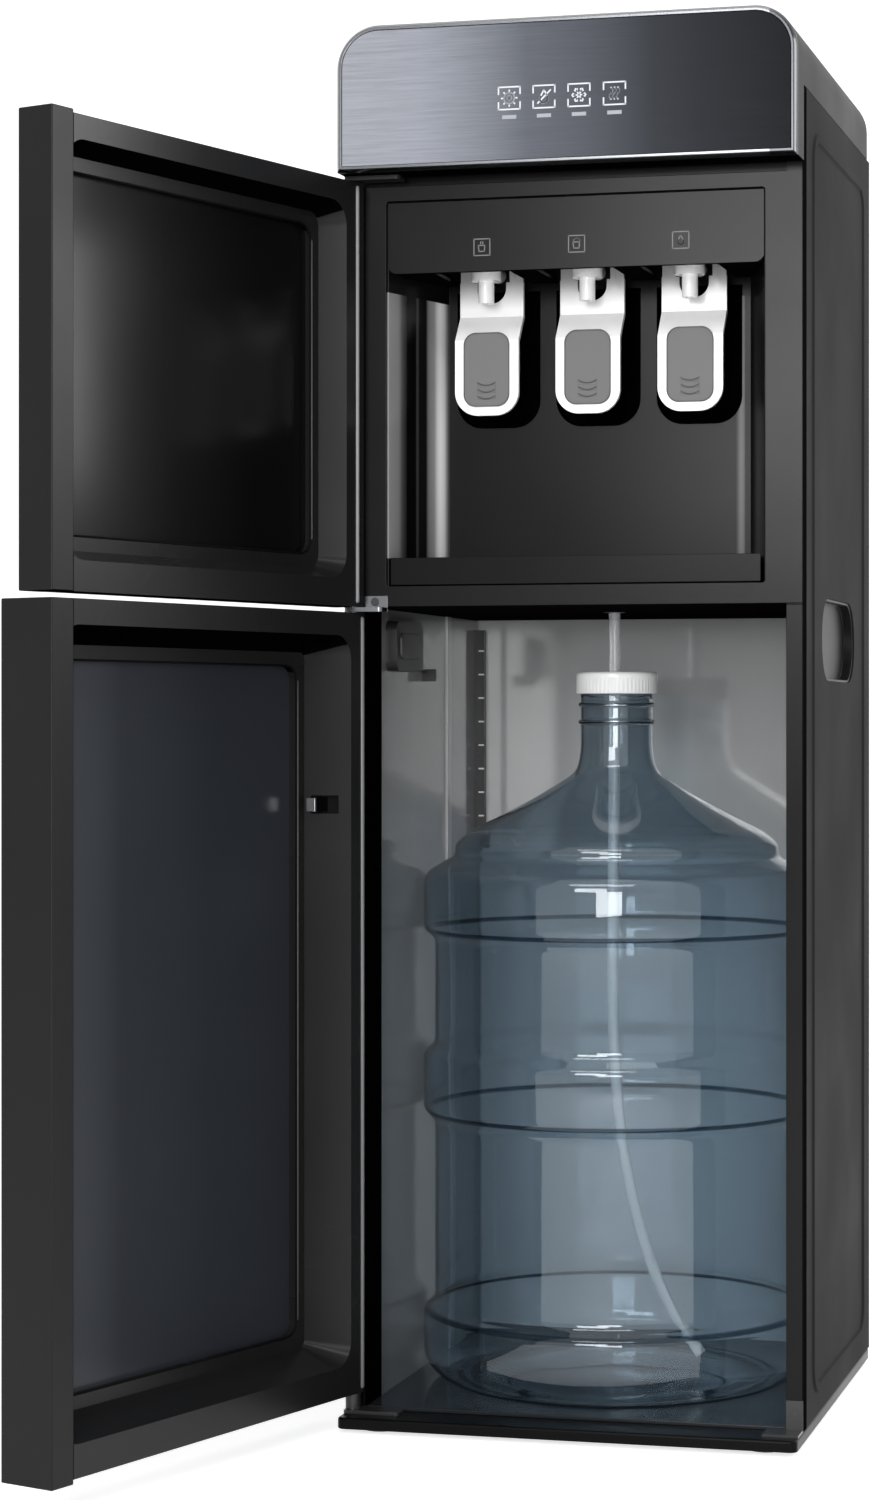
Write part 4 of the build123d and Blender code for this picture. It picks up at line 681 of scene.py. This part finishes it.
# A profile of radius and height turned about an upright axis
def turned(profile, axis, around):
    angle = np.linspace(0, 2 * np.pi, around, endpoint=False)
    radius = np.broadcast_to(profile[:, :1], (len(profile), around))
    z = np.broadcast_to(profile[:, 1:], radius.shape)
    return np.stack((axis[0] + radius * np.cos(angle), axis[1] + radius * np.sin(angle), z), axis=2)


# The profile moved along its own normals by the wall
def inwards(profile, wall):
    along = np.gradient(profile, axis=0)
    along /= np.maximum(np.linalg.norm(along, axis=1), 1e-9)[:, None]
    inner = profile + wall * np.stack((-along[:, 1], along[:, 0]), axis=1)
    inner[:, 0] = np.maximum(inner[:, 0], 0)
    inner[0, 0] = 0
    return inner


outerWall = bottleProfile(bottle)
innerWall = inwards(outerWall, bottle["wall"])[::-1]
bottlePoints = turned(np.vstack((outerWall, innerWall)), bottle["axis"], bottle["around"])
bottleMesh = gridMesh("bottle_shell", bottlePoints, closeV=True)
placePiece("bottle_shell", outward(bottleMesh), bottleBlue, "bottle", "clear_blue", "water_bottle")

cap = {
    "low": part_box("bottle_cap")[0].z,
    "high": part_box("bottle_cap")[1].z,
    "radius": 0.0285,
    "bore": 0.0045,
    "ribs": 60,
    "ribDepth": 0.014,
}


# A ribbed skirt under a plain band, open in the middle for the tube; ribs ripple the radius
def capMesh(values):
    low, high, radius, bore = values["low"], values["high"], values["radius"], values["bore"]
    outline = np.array([
        (radius - 0.0032, low), (radius - 0.0006, low), (radius - 0.0002, low + 0.0008),
        (radius - 0.0002, high - 0.0056), (radius, high - 0.005), (radius, high - 0.0018),
        (radius - 0.0006, high - 0.0005), (radius - 0.002, high), (radius - 0.006, high),
        (radius - 0.0066, high - 0.0008), (bore + 0.004, high - 0.0008), (bore + 0.003, high), (bore, high),
        (bore, low + 0.006), (radius - 0.0034, low + 0.006),
    ])
    angle = np.linspace(0, 2 * np.pi, values["ribs"] * 4, endpoint=False)
    skirt = np.array([0, 1, 1, 1] + [0] * (len(outline) - 4))[:, None]
    ripple = 1 - skirt * values["ribDepth"] * (0.5 + 0.5 * np.cos(values["ribs"] * angle))[None, :]
    radii = outline[:, :1] * ripple
    z = np.broadcast_to(outline[:, 1:], radii.shape)
    x, y = bottle["axis"]
    points = np.stack((x + radii * np.cos(angle), y + radii * np.sin(angle), z), axis=2)
    return gridMesh("cap_ribbed", points, closeU=True, closeV=True)


placePiece("cap_ribbed", outward(capMesh(cap)), whiteGloss, "bottle", "white_moulding", "bottle_cap")

suctionTube = {
    "diameter": 0.008,
    "length": 0.524,
    "route": [
        (-0.004, 0.0102, 0.5412), (-0.004, 0.0102, 0.440), (-0.0056, 0.0112, 0.335), (-0.0052, 0.0107, 0.240),
        (0.002, 0.0092, 0.165), (0.017, 0.0092, 0.104), (0.034, 0.0102, 0.061), (0.057, 0.0107, 0.0295),
    ],
}


# A smooth line through the route's control points, thickened to the tube's diameter
def tubeCurve(name, values):
    data = bpy.data.curves.new(name, "CURVE")
    data.dimensions = "3D"
    line = data.splines.new("NURBS")
    line.points.add(len(values["route"]) - 1)
    line.points.foreach_set("co", np.hstack((values["route"], np.ones((len(values["route"]), 1)))).ravel())
    line.order_u = 3
    line.use_endpoint_u = True
    line.resolution_u = 16
    data.bevel_depth = values["diameter"] / 2
    data.bevel_resolution = 6
    data.use_fill_caps = True
    piece = bpy.data.objects.new(name, data)
    scene.collection.objects.link(piece)
    return piece


tubePiece = tubeCurve("suction_tube_clear", suctionTube)
tubePiece.data.materials.append(tubeClear)
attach(tubePiece, "bottle")
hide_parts("suction_tube")
print("bottle, cap and tube made")


def arcPoints(centre, radius, start, end, count=24):
    angle = np.radians(np.linspace(start, end, count))
    return np.stack((centre[0] + radius * np.cos(angle), centre[1] + radius * np.sin(angle)), axis=1)


# Each stretch of each line as a thin bar on the plane y = front, its corners worked out as arrays
def strokeBars(lines, width, front, thickness):
    starts = np.vstack([np.asarray(line)[:-1] for line in lines])
    ends = np.vstack([np.asarray(line)[1:] for line in lines])
    along = ends - starts
    along /= np.linalg.norm(along, axis=1)[:, None]
    side = np.stack((-along[:, 1], along[:, 0]), axis=1) * width / 2
    reach = along * width * 0.3
    starts, ends = starts - reach, ends + reach
    flatCorners = np.stack((starts - side, ends - side, ends + side, starts + side), axis=1)
    x, z = flatCorners[..., 0], flatCorners[..., 1]
    near = np.stack((x, np.full_like(x, front - thickness), z), axis=2)
    far = np.stack((x, np.full_like(x, front + thickness), z), axis=2)
    points = np.concatenate((near, far), axis=1).reshape(-1, 3)
    block = np.array([(0, 1, 2, 3), (7, 6, 5, 4), (0, 4, 5, 1), (1, 5, 6, 2), (2, 6, 7, 3), (3, 7, 4, 0)])
    faces = (block[None] + 8 * np.arange(len(starts))[:, None, None]).reshape(-1, 4)
    return points, faces


def signPiece(name, lines, width, front, finish, body, slotName, thickness=0.00012):
    points, faces = strokeBars(lines, width, front, thickness)
    mesh = bpy.data.meshes.new(name)
    mesh.from_pydata(points.tolist(), [], faces.tolist())
    return placePiece(name, outward(mesh, 0), finish, body, slotName)


def moved(line, x, z):
    return np.asarray(line, float) + (x, z)


# A square in two brackets, open at the middle of its left and right sides
def bracketLines(half, gap):
    return [
        [(-half, gap), (-half, half), (half, half), (half, gap)],
        [(-half, -gap), (-half, -half), (half, -half), (half, -gap)],
    ]


# A drop: a round foot drawn up to a point
def dropLine(size):
    return np.vstack(([(0, size)], arcPoints((0, -size * 0.3), size * 0.62, 35, -215, 20), [(0, size)]))


# Three upright waves: x swings as a sine of the height
def waveLines(size):
    z = np.linspace(-size, size, 13)
    swing = 0.22 * size * np.sin(z / size * np.pi)
    return [np.stack((at + swing, z), axis=1) for at in (-0.6 * size, 0, 0.6 * size)]


# Six spokes with a small fork on each
def flakeLines(size):
    made = []
    for turn in np.radians(np.arange(0, 360, 60)):
        tip = np.array((math.cos(turn), math.sin(turn))) * size
        made.append([(0, 0), tip])
        for fork in (-0.6, 0.6):
            barb = np.array((math.cos(turn + fork), math.sin(turn + fork))) * size * 0.38
            made.append([tip * 0.55, tip * 0.55 + barb])
    return made


headSigns = {
    "x": (-0.0354, -0.0123, 0.0109, 0.0343),
    "z": 0.8679,
    "half": 0.0072,
    "gap": 0.0026,
    "stroke": 0.00095,
    "ring": 0.0034,
    "core": 0.0015,
    "rays": (0.0044, 0.0052),
    "drop": 0.0044,
    "slash": [(-0.0042, -0.0042), (0.0044, 0.0042)],
    "flake": 0.0047,
    "wave": 0.0038,
    "mark": [(-0.004, -0.0006), (0.0008, 0.004)],
    "markHeight": -0.0122,
    "markStroke": 0.0024,
}


# Short spokes round a ring, from the inner to the outer radius
def rayLines(inner, outer):
    spokes = []
    for turn in np.radians(np.arange(0, 360, 45)):
        spokes.append(np.outer((inner, outer), (math.cos(turn), math.sin(turn))))
    return spokes


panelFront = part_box("head_panel")[0].y
sun = [arcPoints((0, 0), headSigns["ring"], 0, 360, 25), arcPoints((0, 0), headSigns["core"], 0, 360, 13)]
pictures = [
    sun + rayLines(*headSigns["rays"]),
    [dropLine(headSigns["drop"]), headSigns["slash"]],
    flakeLines(headSigns["flake"]),
    waveLines(headSigns["wave"]),
]
bar = [[(start, headSigns["markHeight"]), (end, headSigns["markHeight"])] for start, end in headSigns["mark"]]
for number, (x, picture) in enumerate(zip(headSigns["x"], pictures)):
    for kind, lines, stroke, finish in (
        ("sign", bracketLines(headSigns["half"], headSigns["gap"]) + picture, headSigns["stroke"], signWhite),
        ("mark", bar, headSigns["markStroke"], signSoft),
    ):
        signPiece("head_%s_%d" % (kind, number + 1), [moved(line, x, headSigns["z"]) for line in lines],
                  stroke, panelFront, finish, "cabinet", "brushed_face")

hoodSigns = {
    "x": (-0.0618, 0.0022, 0.0715),
    "z": 0.777,
    "half": 0.0054,
    "stroke": 0.0007,
    "cup": [(-0.0024, 0.0012), (-0.002, -0.0028), (0.0016, -0.0028), (0.002, 0.0012), (-0.0024, 0.0012)],
    "steam": (-0.0008, 0.0006),
    "steamEnds": (0.0022, 0.0036),
    "lid": ((0, 0.0014), 0.0022, 20, 160, 9),
    "drop": 0.0032,
}
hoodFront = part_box("tap_hood")[0].y
hoodPictures = [
    [hoodSigns["cup"]] + [[(x, z) for z in hoodSigns["steamEnds"]] for x in hoodSigns["steam"]],
    [hoodSigns["cup"], arcPoints(*hoodSigns["lid"])],
    [dropLine(hoodSigns["drop"])],
]
half = hoodSigns["half"]
square = [[(-half, -half), (-half, half), (half, half), (half, -half), (-half, -half)]]
for number, (x, picture) in enumerate(zip(hoodSigns["x"], hoodPictures)):
    signPiece("hood_sign_%d" % (number + 1), [moved(line, x, hoodSigns["z"]) for line in square + picture],
              hoodSigns["stroke"], hoodFront, signDim, "cabinet", "gloss_black_moulding")

padLines = {
    "z": (0.6905, 0.686, 0.6815),
    "half": 0.0062,
    "sag": 0.0021,
    "stroke": 0.0008,
    "width": 0.031,
    "height": 0.049,
    "corner": 0.008,
    "middle": 0.7012,
    "edge": 0.0007,
}


# The outline of a rounded rectangle, corner arc by corner arc
def roundedLine(width, height, corner):
    made = []
    for turn, (sx, sz) in zip((0, 90, 180, 270), ((1, 1), (-1, 1), (-1, -1), (1, -1))):
        middle = (sx * (width / 2 - corner), sz * (height / 2 - corner))
        made.append(arcPoints(middle, corner, turn, turn + 90, 8))
    return np.vstack(made + [made[0][:1]])


grip = np.linspace(-1, 1, 11)
gripLine = np.stack((grip * padLines["half"], padLines["sag"] * grip**2), axis=1)  # a parabola whose ends rise
padRing = roundedLine(padLines["width"], padLines["height"], padLines["corner"])
for tapName, tapX in tapPlaces.items():
    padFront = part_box("lever_pad_" + tapName)[0].y
    gripLines = [moved(gripLine, tapX, z) for z in padLines["z"]]
    ringLines = [moved(padRing, tapX, padLines["middle"])]
    for kind, lines, stroke in (("grips", gripLines, padLines["stroke"]), ("outline", ringLines, padLines["edge"])):
        signPiece("pad_%s_%s" % (kind, tapName), lines, stroke, padFront, padShade, "lever_" + tapName, "soft_grey")
print("signs made")


# A sheet that runs level and then bends up behind the object, along a quarter circle
def paleFloor(values):
    size, rise, back, bend = values["size"], values["rise"], values["back"], values["bend"]
    turn = np.linspace(0, np.pi / 2, 12)
    y = np.concatenate(([-size], back - bend + bend * np.sin(turn), [back]))
    z = np.concatenate(([0], bend - bend * np.cos(turn), [rise]))
    x = np.array([-size, size])
    places = np.broadcast_arrays(x[None], y[:, None], z[:, None])
    return gridMesh("floor", np.stack(places, axis=2), flip=True)


studio = {"size": 6.0, "rise": 5.0, "back": 4.0, "bend": 1.5, "floor": 0.86, "world": 0.45, "glow": 0.68}
floorMesh = paleFloor(studio)
floor = bpy.data.objects.new("floor", floorMesh)
scene.collection.objects.link(floor)
floorFinish, tree, shader = startFinish("paleFloor")
shader.inputs["Base Color"].default_value = (*[studio["floor"]] * 3, 1)
shader.inputs["Roughness"].default_value = 0.6
shader.inputs["Specular IOR Level"].default_value = 0.1
glow = tree.nodes.new("ShaderNodeEmission")
tree.links.new(maths(tree, "MULTIPLY", seenDirectly(tree), studio["glow"]), glow.inputs["Strength"])
both = tree.nodes.new("ShaderNodeAddShader")
tree.links.new(shader.outputs[0], both.inputs[0])
tree.links.new(glow.outputs[0], both.inputs[1])
tree.links.new(both.outputs[0], tree.nodes["Material Output"].inputs["Surface"])
floorMesh.materials.append(floorFinish)

world = bpy.data.worlds.new("studio")
scene.world = world
world.use_nodes = True
sky = world.node_tree
background = sky.nodes["Background"]
background.inputs["Color"].default_value = (1, 1, 1, 1)
sky.links.new(spread(sky, seenDirectly(sky), studio["world"], 1.0, 0, 1), background.inputs["Strength"])

lamps = {
    "keyLamp": {"place": (-0.1, -2.7, 1.1), "aim": (0, 0, 0.6), "size": (0.9, 0.8), "power": 27},
    "rightLamp": {"place": (1.5, 0.55, 1.15), "aim": (-0.1, -0.2, 0.75), "size": (0.7, 0.8), "power": 14},
    "topLamp": {"place": (0.2, 0.2, 2.6), "aim": (0, 0, 0), "size": (1.4, 1.4), "power": 9},
    "lowLamp": {"place": (0.35, -2.3, 0.45), "aim": (0, 0.1, 0.3), "size": (0.6, 0.5), "power": 12},
    "highLamp": {"place": (0.1, -1.9, 2.1), "aim": (0, 0, 0.3), "size": (1.5, 0.45), "power": 16},
}
for lampName, values in lamps.items():
    light = bpy.data.lights.new(lampName, "AREA")
    light.shape = "RECTANGLE"
    light.size, light.size_y = values["size"]
    light.energy = values["power"]
    lamp = bpy.data.objects.new(lampName, light)
    scene.collection.objects.link(lamp)
    lamp.location = values["place"]
    towards = Vector(values["aim"]) - Vector(values["place"])
    lamp.rotation_euler = towards.to_track_quat("-Z", "Y").to_euler()

view = {
    "place": (0.488, -2.1152, 0.462),
    "yaw": 13.3,
    "focalPixels": 3141,
    "frame": (872, 1500),
    "axisPixel": (600, 727),
    "sensor": 36,
}
cameraData = bpy.data.cameras.new("photoCamera")
camera = bpy.data.objects.new("photoCamera", cameraData)
scene.collection.objects.link(camera)
scene.camera = camera
frameWidth, frameHeight = view["frame"]
cameraData.sensor_width = view["sensor"]
cameraData.lens = view["focalPixels"] / frameHeight * view["sensor"]
cameraData.shift_x = (frameWidth / 2 - view["axisPixel"][0]) / frameHeight
cameraData.shift_y = (view["axisPixel"][1] - frameHeight / 2) / frameHeight
camera.location = view["place"]
camera.rotation_euler = (math.radians(90), 0, math.radians(view["yaw"]))
scene.view_settings.view_transform = "Standard"
print("studio set")
